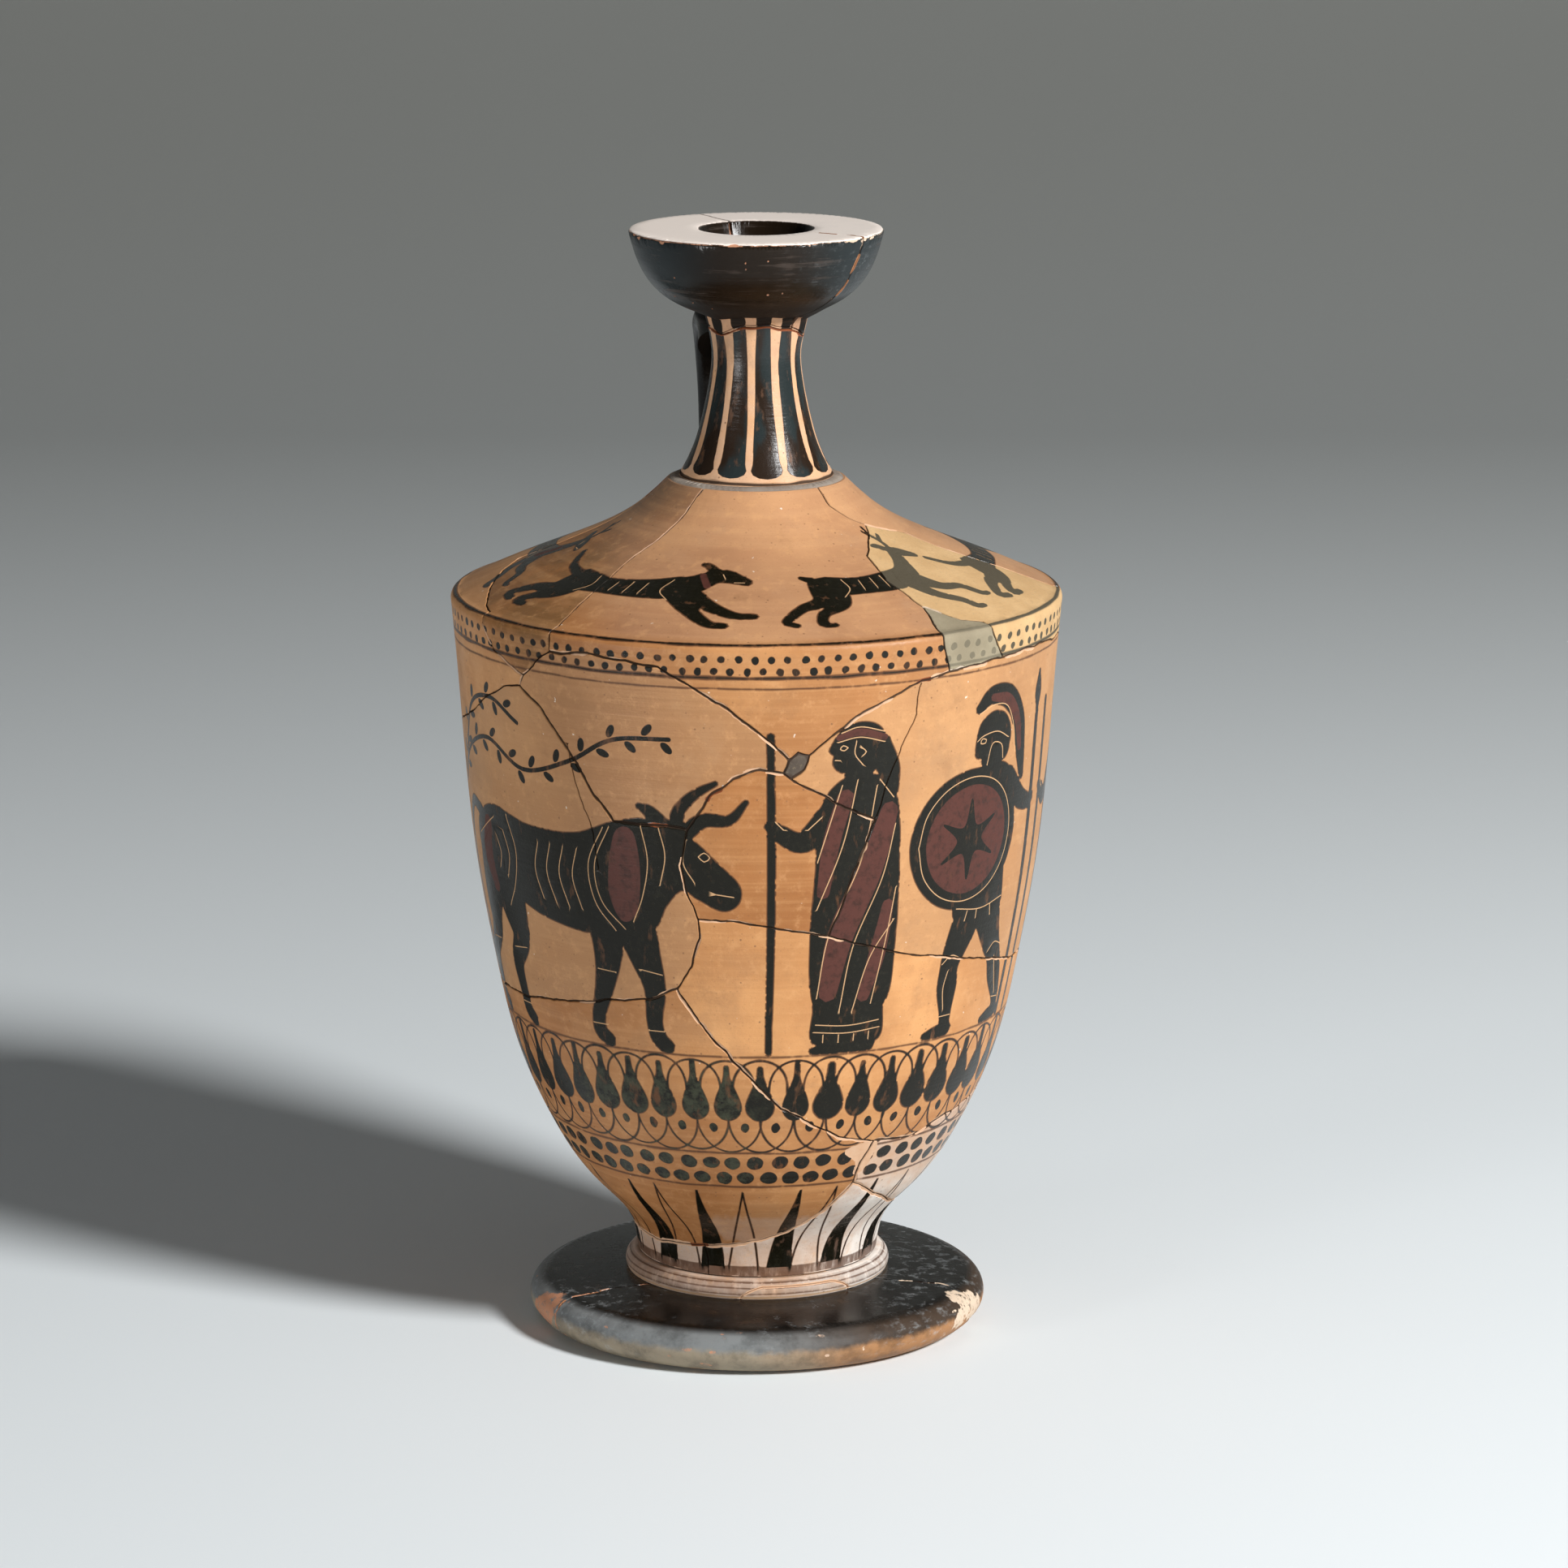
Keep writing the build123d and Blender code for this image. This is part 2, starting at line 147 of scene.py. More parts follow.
def smooth(points, closed=False, step=0.5):
    """Points run over by a soft curve through all of them; extra columns go along."""
    p = np.array(points, float)
    count = len(p)
    rows = []
    for i in range(count if closed else count - 1):
        if closed:
            a, b, c, d = (p[(i + k) % count] for k in (-1, 0, 1, 2))
        else:
            b, c = p[i], p[i + 1]
            a = p[i - 1] if i else 2 * b - c
            d = p[i + 2] if i + 2 < count else 2 * c - b
        steps = max(2, int(math.hypot(*(c - b)[:2]) / step) + 1)
        t = (np.arange(steps) / steps)[:, None]
        rows.append(0.5 * (2 * b + (c - a) * t + (2 * a - 5 * b + 4 * c - d) * t * t
                           + (3 * b - a - 3 * c + d) * t ** 3))
    if not closed:
        rows.append(p[-1:])
    return np.concatenate(rows)


def sideways(c):
    """Left-hand directions, one long, along a line of points."""
    d = np.gradient(c[:, :2], axis=0)
    d /= np.maximum(np.hypot(d[:, 0], d[:, 1]), 1e-9)[:, None]
    return np.stack([-d[:, 1], d[:, 0]], 1)


def stroke(points, step=0.6):
    """A brush stroke through points of (x, y, width): its outline, grown as asked."""
    c = smooth(points, step=step)
    side = sideways(c)

    def outline(grow):
        half = np.maximum(c[:, 2] / 2 + grow, 0.02)[:, None]
        ends = []
        for at, flip in ((-1, 1), (0, -1)):
            turn = np.radians(np.array([-54, 0, 54]))
            out = np.array([side[at][1], -side[at][0]]) * flip
            across = -side[at] * flip
            round_end = np.cos(turn)[:, None] * out + np.sin(turn)[:, None] * across
            ends.append(c[at, :2] + half[at] * round_end)
        return np.concatenate([c[:, :2] - side * half, ends[0][::-1], (c[:, :2] + side * half)[::-1],
                               ends[1][::-1]])
    return outline


def blob(points, step=0.6):
    """A closed soft shape through points: its outline, grown as asked."""
    c = smooth(points, True, step)
    area = np.sum(c[:, 0] * np.roll(c[:, 1], -1) - np.roll(c[:, 0], -1) * c[:, 1])
    d = np.roll(c, -1, 0) - np.roll(c, 1, 0)
    d /= np.maximum(np.hypot(d[:, 0], d[:, 1]), 1e-9)[:, None]
    out = np.stack([d[:, 1], -d[:, 0]], 1) * (1 if area > 0 else -1)

    def outline(grow):
        return c + out * grow
    return outline


def disc(x, y, wide, high, turn=0.0, count=12, uneven=0.0, rng=None):
    """A dot of the brush, a little uneven."""
    a = np.arange(count) / count * 2 * math.pi
    k = 1 + (uneven * np.array([rng.uniform(-1, 1) for _ in a]) if rng else 0 * a)
    px, py = wide / 2 * k * np.cos(a), high / 2 * k * np.sin(a)
    co, si = math.cos(turn), math.sin(turn)
    return blob(np.stack([x + px * co - py * si, y + px * si + py * co], 1), step=9.0)


def inside(polygon, points, ends=None):
    """Which points a closed outline goes round; it may also be given as loose edges, start and end."""
    x1, y1 = polygon[:, 0][:, None], polygon[:, 1][:, None]
    if ends is None:
        ends = np.roll(polygon, -1, 0)
    x2, y2 = ends[:, 0][:, None], ends[:, 1][:, None]
    px, py = points[:, 0][None], points[:, 1][None]
    left = (x2 - x1) * (py - y1) - (px - x1) * (y2 - y1)
    up = (y1 <= py) & (y2 > py) & (left > 0)
    down = (y1 > py) & (y2 <= py) & (left < 0)
    return (up.sum(0) - down.sum(0)) != 0


class Skin:
    """The flat net of one turned surface: its lines, its breaks and what each encloses."""

    def __init__(self, line, row=1.7, across=1.9):
        self.line = line
        self.points = []
        self.breaks = []
        self.edges = []
        self.shapes = []
        self.lines = []
        bend = np.abs(np.gradient(np.unwrap(np.arctan2(line.n[:, 1], line.n[:, 0]))))
        load = np.cumsum(np.gradient(line.s) / row + np.minimum(bend, 0.06) / 0.24)
        self.rows = np.interp(np.linspace(load[0], load[-1], int(load[-1]) + 2), load, line.s)
        self.rows = np.array([s for s in self.rows if all(abs(s - c) > 0.3 for c in line.corners)])
        self.coarse = []
        for k, s in enumerate(self.rows[1:-1], 1):
            count = max(12, int(2 * math.pi * float(line.r(s)) / across))
            shift = 0.5 * (k % 2)
            for j in range(count):
                angle = -TURN + 360.0 * (j + shift) / count
                if j or shift:
                    if k % 4 == 0 and j % 4 == 0:
                        self.coarse.append(len(self.points))
                    self.points.append((angle, s))
        for edge in (-TURN, TURN):
            self.chain(np.array([(edge, s) for s in self.rows]))
        for end in (0.0, *line.corners, line.length):
            count = max(12, int(2 * math.pi * float(line.r(end)) / across))
            self.chain(np.array([(-TURN + 360.0 * j / count, end) for j in range(count + 1)]))

    def chain(self, p, closed=False, is_break=False):
        """Adds a line to the net, and its part past the back again on the other side."""
        p = np.array(p, float)
        p[:, 1] = np.clip(p[:, 1], 0.0, self.line.length)
        if closed:
            p = np.concatenate([p, p[:1]])
        for shift in (-360.0, 0.0, 360.0):
            a = p[:, 0] + shift
            keep = np.abs(a) < TURN + OVERLAP
            last = None
            for i in range(len(p)):
                if not keep[i]:
                    last = None
                    continue
                self.points.append((a[i], p[i, 1]))
                if last is not None:
                    (self.breaks if is_break else self.edges).append((last, len(self.points) - 1))
                last = len(self.points) - 1

    def flat(self, outline, angle, s, radius=None, mirror=1.0, scale=1.0):
        """An outline drawn in millimetres, laid on the surface at an angle and a length."""
        per = 1.0 / (PER_DEGREE * (radius or float(self.line.r(s))))

        def laid(grow):
            o = outline(grow)
            return np.stack([angle + mirror * scale * per * o[:, 0], s + scale * o[:, 1]], 1)
        return laid

    def paint(self, channel, laid, soft=0.2, value=1.0):
        """A painted shape: full to its outline, fading over the soft edge."""
        self.chain(laid(0.0), True)
        self.chain(laid(soft), True)
        self.shapes.append((channel, value, laid(soft * SOFT_SHARE)))

    def beside(self, p, by):
        """A line moved sideways by a distance in millimetres."""
        per = PER_DEGREE * np.maximum(self.line.r(p[:, 1]), 1.0)
        flat = np.stack([p[:, 0] * per.mean(), p[:, 1]], 1)
        move = sideways(flat) * np.asarray(by)[..., None]
        return np.stack([p[:, 0] + move[:, 0] / per, p[:, 1] + move[:, 1]], 1)

    def draw(self, channel, p, width, value=1.0, is_break=False, kept=slice(None)):
        """A fine line: full along its middle and nothing at its edges."""
        p = np.array(p, float)
        width = np.broadcast_to(np.asarray(width, float), len(p))
        self.chain(p[kept], is_break=is_break)
        self.chain(self.beside(p, width / 2)[kept])
        self.chain(self.beside(p, -width / 2)[kept])
        self.lines.append((channel, value, p, width / 2))

    def band(self, channel, low, high, soft=0.25, value=1.0, wobble=0.0, key=0.0):
        """A painted zone all the way round."""
        angles = np.arange(-TURN - 2.0, TURN + 3.0)

        def edge(s, k):
            return np.stack([angles, s + wobble * wave(angles, k, float(self.line.r(s)) * 0.9)], 1)
        low_edge, high_edge = edge(low, key), edge(high, key + 5)
        if low > 0:
            self.chain(low_edge[ONE_TURN])
            self.chain(low_edge[ONE_TURN] - (0, soft))
        if high < self.line.length:
            self.chain(high_edge[ONE_TURN])
            self.chain(high_edge[ONE_TURN] + (0, soft))
        down = soft * SOFT_SHARE if low > 0 else PAST_END
        up = soft * SOFT_SHARE if high < self.line.length else PAST_END
        zone = np.concatenate([low_edge - (0, down), (high_edge + (0, up))[::-1]])
        self.shapes.append((channel, value, zone))

    def ring(self, channel, s, width, value=1.0, wobble=0.12, key=0.0):
        """A brushed line all the way round."""
        angles = np.arange(-TURN - 2.0, TURN + 3.0)
        bumps = float(self.line.r(s)) * 0.6
        p = np.stack([angles, s + wobble * wave(angles, key, bumps)], 1)
        self.draw(channel, p, width * (1.0 + 0.3 * wave(angles, key + 3, bumps)), value, kept=ONE_TURN)

    def solve(self, seeds):
        """Triangles of the net, the piece each belongs to, and each channel's value at the points."""
        n_break = len(self.breaks)
        verts, edges, tris, origin, edge_origin, _ = delaunay_2d_cdt(
            [Vector(p) for p in self.points], self.breaks + self.edges, [], 0, 1e-7, True)
        self.v = np.array([tuple(p) for p in verts])
        tris = np.array(tris)
        centre = self.v[tris].mean(1)
        spread = np.ptp(self.v[tris][:, :, 0], axis=1)
        kept = (np.abs(centre[:, 0]) < TURN) & (spread < 60.0)
        self.t = tris[kept]
        self.centre = centre[kept]
        self.wall_edges = {tuple(sorted(e)) for e, o in zip(edges,
                                                            edge_origin) if any(k < n_break for k in o)}
        coarse = set(self.coarse)
        self.coarse_out = [k for k, o in enumerate(origin) if any(i in coarse for i in o)]
        self.label = self.flood(seeds)
        self.values = self.fill_in()

    def flood(self, seeds):
        """Each triangle's piece: spread from the seeds up to the breaks."""
        names = sorted({name for name, _, _ in seeds})
        label = np.full(len(self.t), -1)
        if len(names) == 1:
            return np.zeros(len(self.t), int), names
        by_edge = {}
        for k, (a, b, c) in enumerate(self.t.tolist()):
            for e in ((a, b), (b, c), (c, a)):
                by_edge.setdefault((min(e), max(e)), []).append(k)
        near = [[] for _ in range(len(self.t))]
        for e, pair in by_edge.items():
            if len(pair) == 2 and e not in self.wall_edges:
                near[pair[0]].append(pair[1])
                near[pair[1]].append(pair[0])
        per = PER_DEGREE * self.line.r(self.centre[:, 1])
        for name, angle, s in seeds:
            start = int(np.argmin(((self.centre[:, 0] - angle) * per) ** 2 + (self.centre[:, 1] - s) ** 2))
            if label[start] >= 0 and names[label[start]] != name:
                print("a break leaks:", name, "runs into", names[label[start]])
            todo = [start]
            while todo:
                k = todo.pop()
                if label[k] < 0:
                    label[k] = names.index(name)
                    todo.extend(near[k])
        for k in np.flatnonzero(label < 0):
            known = np.flatnonzero(label >= 0)
            gap = np.abs(self.centre[known] - self.centre[k]).sum(1)
            label[k] = label[known[int(np.argmin(gap))]]
        return label, names

    def fill_in(self):
        values = {c: np.zeros(len(self.v)) for c in CHANNELS}
        order = np.argsort(self.v[:, 0])
        angle = self.v[order, 0]
        for channel, value, polygon in self.shapes:
            for shift in (-360.0, 0.0, 360.0):
                p = polygon + (shift, 0)
                lo, hi = p.min(0), p.max(0)
                if hi[0] < -TURN - 1 or lo[0] > TURN + 1:
                    continue
                first, last = np.searchsorted(angle, (lo[0], hi[0]))
                some = order[first:last]
                some = some[(self.v[some, 1] >= lo[1]) & (self.v[some, 1] <= hi[1])]
                if len(some):
                    for part in np.array_split(some, 1 + len(some) * len(p) // 2000000):
                        hit = part[inside(p, self.v[part])]
                        values[channel][hit] = np.maximum(values[channel][hit], value)
        for channel, value, line, half in self.lines:
            for first in range(0, len(line) - 1, 12):
                p, h = line[first:first + 13], half[first:first + 13]
                for shift in (-360.0, 0.0, 360.0):
                    self.near_line(values[channel], value, p + (shift, 0), h, order, angle)
        return values

    def near_line(self, values, value, p, half, order, angle):
        """Points beside a stretch of a line take its value, falling to nothing at its edges."""
        reach = half.max()
        side = reach / (PER_DEGREE * max(float(self.line.r(p[:, 1]).min()), 1.0))
        first, last = np.searchsorted(angle, (p[:, 0].min() - side, p[:, 0].max() + side))
        some = order[first:last]
        some = some[np.abs(self.v[some, 1] - (p[:, 1].min() + p[:,
                                                                1].max()) / 2) <= np.ptp(p[:, 1]) / 2 + reach]
        if not len(some):
            return
        per = PER_DEGREE * np.maximum(self.line.r(self.v[some, 1]), 1.0)[:, None]
        ax, ay = (self.v[some, 0][:, None] - p[:-1, 0]) * per, self.v[some, 1][:, None] - p[:-1, 1]
        bx, by = (p[1:, 0] - p[:-1, 0]) * per, p[1:, 1] - p[:-1, 1]
        t = np.clip((ax * bx + ay * by) / np.maximum(bx * bx + by * by, 1e-12), 0, 1)
        gap = np.hypot(ax - t * bx, ay - t * by) / (half[:-1] + t * (half[1:] - half[:-1]))
        values[some] = np.maximum(values[some], value * np.clip(1.0 - gap.min(1), 0, 1))

    def part(self, index):
        """A piece's triangles, its points and the points' new numbers."""
        tris = self.t[self.label[0] == index]
        used = np.unique(tris)
        back = np.full(len(self.v), -1)
        back[used] = np.arange(len(used))
        return tris, used, back

    def place(self, k, depth=0.0, warp=None):
        """Points of the net in space, in millimetres, pressed in by depth."""
        angle, s = self.v[k, 0], self.v[k, 1]
        nr, nz = self.line.normal(s)
        r = self.line.r(s) - depth * nr
        z = self.line.z(s) - depth * nz
        if warp:
            r, z = warp(angle, r, z)
        turn = angle * PER_DEGREE
        return np.stack([r * np.sin(turn), -r * np.cos(turn), z], 1)


def wave(angle, key, bumps):
    """A smooth uneven line round the axis, -1 to 1, with about that many bumps in one turn."""
    k = bumps / math.pi
    return np.array([noise.noise((k * math.sin(a) + key, k * math.cos(a) - key, 7.3 * key))
                     for a in np.radians(angle)])


def finish_mesh(name, verts, faces, uv, values, caps=False):
    """A closed mesh object with its point values and its flat map."""
    mesh = bpy.data.meshes.new(name)
    mesh.from_pydata((np.asarray(verts) * MM).tolist(), [], faces.tolist())
    layer = mesh.uv_layers.new(name="OFBake")
    layer.data.foreach_set("uv", np.asarray(uv, np.float32).ravel())
    for channel in CHANNELS:
        attribute = mesh.attributes.new(channel, "FLOAT", "POINT")
        attribute.data.foreach_set("value", np.asarray(values[channel], np.float32))
    bm = bmesh.new()
    bm.from_mesh(mesh)
    bmesh.ops.remove_doubles(bm, verts=bm.verts, dist=2e-6)
    bmesh.ops.dissolve_degenerate(bm, edges=bm.edges, dist=1e-7)
    if caps:
        rim = [e for e in bm.edges if e.is_boundary]
        bmesh.ops.holes_fill(bm, edges=rim, sides=0)
    bmesh.ops.triangulate(bm, faces=[f for f in bm.faces if len(f.verts) > 3])
    bmesh.ops.delete(bm, geom=[e for e in bm.edges if not e.link_faces], context="EDGES")
    bmesh.ops.recalc_face_normals(bm, faces=bm.faces)
    bm.to_mesh(mesh)
    bm.free()
    mesh.shade_smooth()
    mesh.set_sharp_from_angle(angle=math.radians(32))
    piece = bpy.data.objects.new(name, mesh)
    bpy.context.scene.collection.objects.link(piece)
    return piece


DEPTH = {"gap": 0.4, "chip": 0.16, "cut": 0.05, "glue": -0.05}


def pressed(skin):
    """How far each point lies under the surface: breaks, chips and scratches."""
    return sum(depth * skin.values[channel] for channel, depth in DEPTH.items())


def flat_map(skin, tris):
    """A point's place in the flat map, kept apart from the hidden faces along the lower edge."""
    p = skin.v[tris]
    lo, hi = p.reshape(-1, 2).min(0), p.reshape(-1, 2).max(0)
    return (p - lo) / (hi - lo) * (0.98, 0.86) + (0.01, 0.13)


def whole_piece(skin, index, name, warp=None, caps=False, tint=None):
    """A piece whose surface closes on itself, or whose breaks are capped."""
    tris, used, back = skin.part(index)
    depth = pressed(skin)[used]
    values = {c: skin.values[c][used] for c in CHANNELS}
    for channel, amount in (tint or {}).items():
        values[channel] = values[channel] + amount
    return finish_mesh(name, skin.place(used, depth, warp), back[tris], flat_map(skin, tris), values, caps)


def sherd(skin, index, name, inner, tint):
    """A sherd: the painted skin, the broken sides down through the wall, and the plain inside."""
    tris, used, back = skin.part(index)
    count = {}
    for a, b, c in tris.tolist():
        for e in ((a, b), (b, c), (c, a)):
            key = (min(e), max(e))
            count[key] = None if key in count else e
    rim = [e for e in count.values() if e]
    on_seam = np.abs(np.abs(skin.v[:, 0]) - TURN) < 1e-6
    at_pole = skin.v[:, 1] < 1e-6
    sides = [(a, b) for a, b in rim if not (on_seam[a] and on_seam[b]) and not (at_pole[a] and at_pole[b])]
    rim_points = sorted({k for e in rim for k in e})
    rim_set = set(rim_points)
    used_set = set(used.tolist())
    middle = [k for k in skin.coarse_out if k in used_set and k not in rim_set]
    ids = rim_points + middle
    where = {k: i for i, k in enumerate(ids)}
    flat, _, faces, origin, _, _ = delaunay_2d_cdt(
        [Vector(skin.v[k]) for k in ids], [(where[a], where[b]) for a, b in rim], [], 1, 1e-9, True)
    inner_v = np.array([tuple(p) for p in flat])
    faces = np.array(faces)
    rim_ends = skin.v[np.array(rim)]
    faces = faces[inside(rim_ends[:, 0], inner_v[faces].mean(1), rim_ends[:, 1])]
    to_flat = {i: k for k, o in enumerate(origin) for i in o}
    n = len(used)
    outer = skin.place(used, pressed(skin)[used])
    inside_points = inner(inner_v)
    inner_tris = faces + n
    side_tris = []
    for a, b in sides:
        ia, ib = n + to_flat[where[a]], n + to_flat[where[b]]
        side_tris.append((back[b], back[a], ia))
        side_tris.append((back[b], ia, ib))
    side_tris = np.array(side_tris)
    tris_all = np.concatenate([back[tris], inner_tris[:, ::-1], side_tris])
    lo, hi = inner_v.min(0), inner_v.max(0)
    inner_uv = (inner_v - lo) / (hi - lo) * (0.48, 0.10) + (0.01, 0.01)
    side_uv = np.tile(np.array([(0.6, 0.02), (0.6, 0.08), (0.62, 0.08)]), (len(side_tris), 1, 1))
    side_uv[:, :, 0] += (np.arange(len(side_tris)) % 180 * 0.002)[:, None]
    uv = np.concatenate([flat_map(skin, tris), inner_uv[inner_tris[:, ::-1] - n], side_uv])
    values = {}
    for channel in CHANNELS:
        plain = 0.0 if channel not in ("pale", "grey", "seed") else tint.get(channel, 0.0)
        values[channel] = np.concatenate([skin.values[channel][used] + tint.get(channel, 0.0),
                                          np.full(len(inner_v), plain)])
    return finish_mesh(name, np.concatenate([outer, inside_points]), tris_all, uv, values)


# Outlines of the turned parts
BODY = Outline(
    straight((0.0, 10.2), (26.0, 10.2)), arc((26.0, 10.2), (26.4, 11.9), (24.5, 14.0)),
    straight((24.5, 14.0), (23.9, 14.0)), spline(WALL_LINE),
    arc((60.0, 146.5), (59.8, 147.75), (58.4, 148.5)), spline(SHOULDER_LINE),
    straight((17.4, 170.2), (10.5, 170.2)))
BEAD, WALL_RUN, RIDGE, SHOULDER = 1, 3, 4, 5
NECK = Outline(
    straight((5.7, 190.0), (5.7, 180.8)), straight((5.7, 180.8), (10.5, 170.8)),
    straight((10.5, 170.8), (15.2, 170.8)), spline(NECK_LINE), straight((9.4, 200.0), (5.7, 200.0)),
    straight((5.7, 200.0), (5.7, 190.0)))
SEAT = Outline(
    straight((10.5, 170.8), (10.5, 170.0)), straight((10.5, 170.0), (17.2, 170.0)),
    arc((17.2, 170.0), (16.6, 170.55), (15.2, 170.8)), straight((15.2, 170.8), (10.5, 170.8)))
THROAT = spline(((11.0, 218.6), (10.2, 216.2), (5.7, 200.0)))
MOUTH = Outline(
    THROAT[90:], straight((5.7, 200.0), (9.4, 200.0)), straight((9.4, 200.0), (10.1, 202.4)),
    spline(BOWL_LINE), arc((24.8, 218.4), (24.6, 218.97), (24.0, 219.2)),
    straight((24.0, 219.2), (11.6, 219.2)), arc((11.6, 219.2), (11.2, 219.02), (11.0, 218.6)), THROAT[:91])
FOOT = Outline(
    straight((0.0, 4.0), (30.0, 0.0)), straight((30.0, 0.0), (39.5, 0.0)),
    spline(((39.5, 0.0), (42.4, 0.75), (44.7, 2.5), (45.6, 5.0), (44.4, 7.6), (41.6, 9.0))),
    straight((41.6, 9.0), (26.4, 10.2)), straight((26.4, 10.2), (0.0, 10.2)))


def wall_s(z):
    return BODY.find(WALL_RUN, z, 1)


def level_s(level):
    """Length on the body for a break's level: 0 to 1 up the wall, 1 to 2 across the shoulder."""
    if level <= 1.0:
        return wall_s(WALL_Z + (SHOULDER_Z - WALL_Z) * level)
    on_shoulder = BODY.find(SHOULDER, EDGE_R + (LEDGE_R - EDGE_R) * (min(level, 2.0) - 1.0), 0)
    return on_shoulder + max(0.0, level - 2.0) * LEDGE_REACH


def inner_place(v):
    """The flask's inside for points of the body's net."""
    angle, s = v[:, 0], v[:, 1]
    nr, nz = BODY.normal(s)
    r = np.maximum(BODY.r(s) - WALL * nr, 0.0)
    z = BODY.z(s) - WALL * nz
    low, high = BODY.s[BODY.starts[BEAD]], wall_s(30.0)
    hr, hz = BODY.normal(high)
    top = (float(BODY.r(high)) - WALL * float(hr), float(BODY.z(high)) - WALL * float(hz))
    share = np.clip((s - low) / (high - low), 0, 1)
    r = np.where(s < high, PIT_R + (top[0] - PIT_R) * share, r)
    z = np.where(s < high, PIT_Z + (top[1] - PIT_Z) * share, z)
    r = np.where(s < low, BODY.r(s) * PIT_R / BASE_R, r)
    z = np.where(s < low, PIT_Z, z)
    ledge = BODY.s[BODY.starts[SHOULDER + 1] - 1]
    edge = BODY.normal(ledge - 0.5)
    past = s > ledge
    lean = WALL * float(edge[0]) * (BODY.r(s) - HOLE_R) / (LEDGE_R - HOLE_R)
    r = np.where(past, np.maximum(HOLE_R, BODY.r(s) - lean), r)
    z = np.where(past, LEDGE_IN_Z + 0.1 * (LEDGE_R - BODY.r(s)), z)
    turn = angle * PER_DEGREE
    return np.stack([r * np.sin(turn), -r * np.cos(turn), z], 1)


# Breaks of the body as (angle, level), as in the solids
BREAKS = {
    "middle": ((-11.6, 0.606), (-3, 0.604), (3.5, 0.594), (15, 0.578), (23, 0.559), (34, 0.535),
               (51, 0.510), (71, 0.480), (95, 0.465), (140, 0.436), (180, 0.420), (225, 0.420),
               (270, 0.430), (295, 0.435), (310, 0.445), (326, 0.465), (337, 0.474), (343.5, 0.496),
               (346.7, 0.532), (348.7, 0.575), (348.4, 0.606)),
    "base": ((30.3, 0.167), (42, 0.136), (57, 0.104), (90, 0.076), (135, 0.068), (180, 0.060), (225, 0.060),
             (270, 0.052), (306, 0.040), (333, 0.047), (350, 0.054), (362, 0.062), (373, 0.078),
             (381, 0.105), (386, 0.128), (390.3, 0.167)),
    "left_shoulder": ((-93, 2.36), (-93, 1.28), (-65, 1.03), (-57, 0.964), (-48.5, 0.940)),
    "front_corner": ((-49.6, 0.924), (-48.5, 0.940), (-41, 0.982)),
    "front_shoulder_left": ((-36.6, 2.36), (-36.6, 2.0), (-44, 1.61), (-40.5, 1.02), (-41, 0.982)),
    "front_left": ((-49.6, 0.924), (-44.4, 0.898), (-35.5, 0.822), (-32, 0.780), (-28.2, 0.743),
                   (-17, 0.744), (-13, 0.738)),
    "front_top": ((-41, 0.982), (-32.3, 0.990), (-18, 0.979), (-12.5, 0.956), (-5, 0.920), (0, 0.891),
                  (6.4, 0.845)),
    "right_top": ((10.2, 0.852), (18.8, 0.905), (32, 0.948), (38.3, 0.957), (52.7, 0.962), (68, 0.962),
                  (96, 0.947), (104, 0.930), (104, 0.452)),
    "centre_top": ((-13, 0.738), (-8.8, 0.792), (-4.4, 0.818), (0.8, 0.829), (5.2, 0.827)),
    "centre_right": ((6.6, 0.819), (15.7, 0.777), (23, 0.750), (18.3, 0.649), (15, 0.578)),
    "centre_left": ((-11.6, 0.606), (-13.7, 0.651), (-14.5, 0.684), (-13, 0.738)),
    "chip": ((5.2, 0.827), (6.6, 0.819), (9.4, 0.833), (10.2, 0.852), (8.1, 0.856), (6.4, 0.845),
             (5.2, 0.827)),
    "left_wall": ((-49.6, 0.924), (-55, 0.914), (-62.5, 0.889), (-73.5, 0.846), (-100, 0.800),
                  (-100, 0.422)),
    "fill_left": ((38.3, 0.957), (36.3, 1.0), (38.7, 1.18), (37, 1.42), (40, 1.615), (56, 1.805)),
    "fill_top": ((56, 1.805), (74, 1.69), (83, 1.32), (89.6, 1.01), (96, 0.947)),
    "band_fill": ((38.7, 1.18), (44, 1.06), (49, 1.0), (52.7, 0.962)),
    "front_shoulder_right": ((56, 1.805), (44, 1.92), (43.6, 2.0), (43.6, 2.36)),
    "lower": ((-16.5, 0.496), (-12.2, 0.444), (-5.2, 0.386), (6, 0.308), (11.5, 0.286), (21.5, 0.254),
              (32.4, 0.237), (30.1, 0.202), (30.3, 0.167)),
    "small_top": ((32.4, 0.237), (44.6, 0.232), (58, 0.252), (80, 0.265), (105, 0.265)),
    "back_right": ((104, 0.466), (104, 0.066)),
    "back_left": ((-100, 0.434), (-100, 0.046)),
}
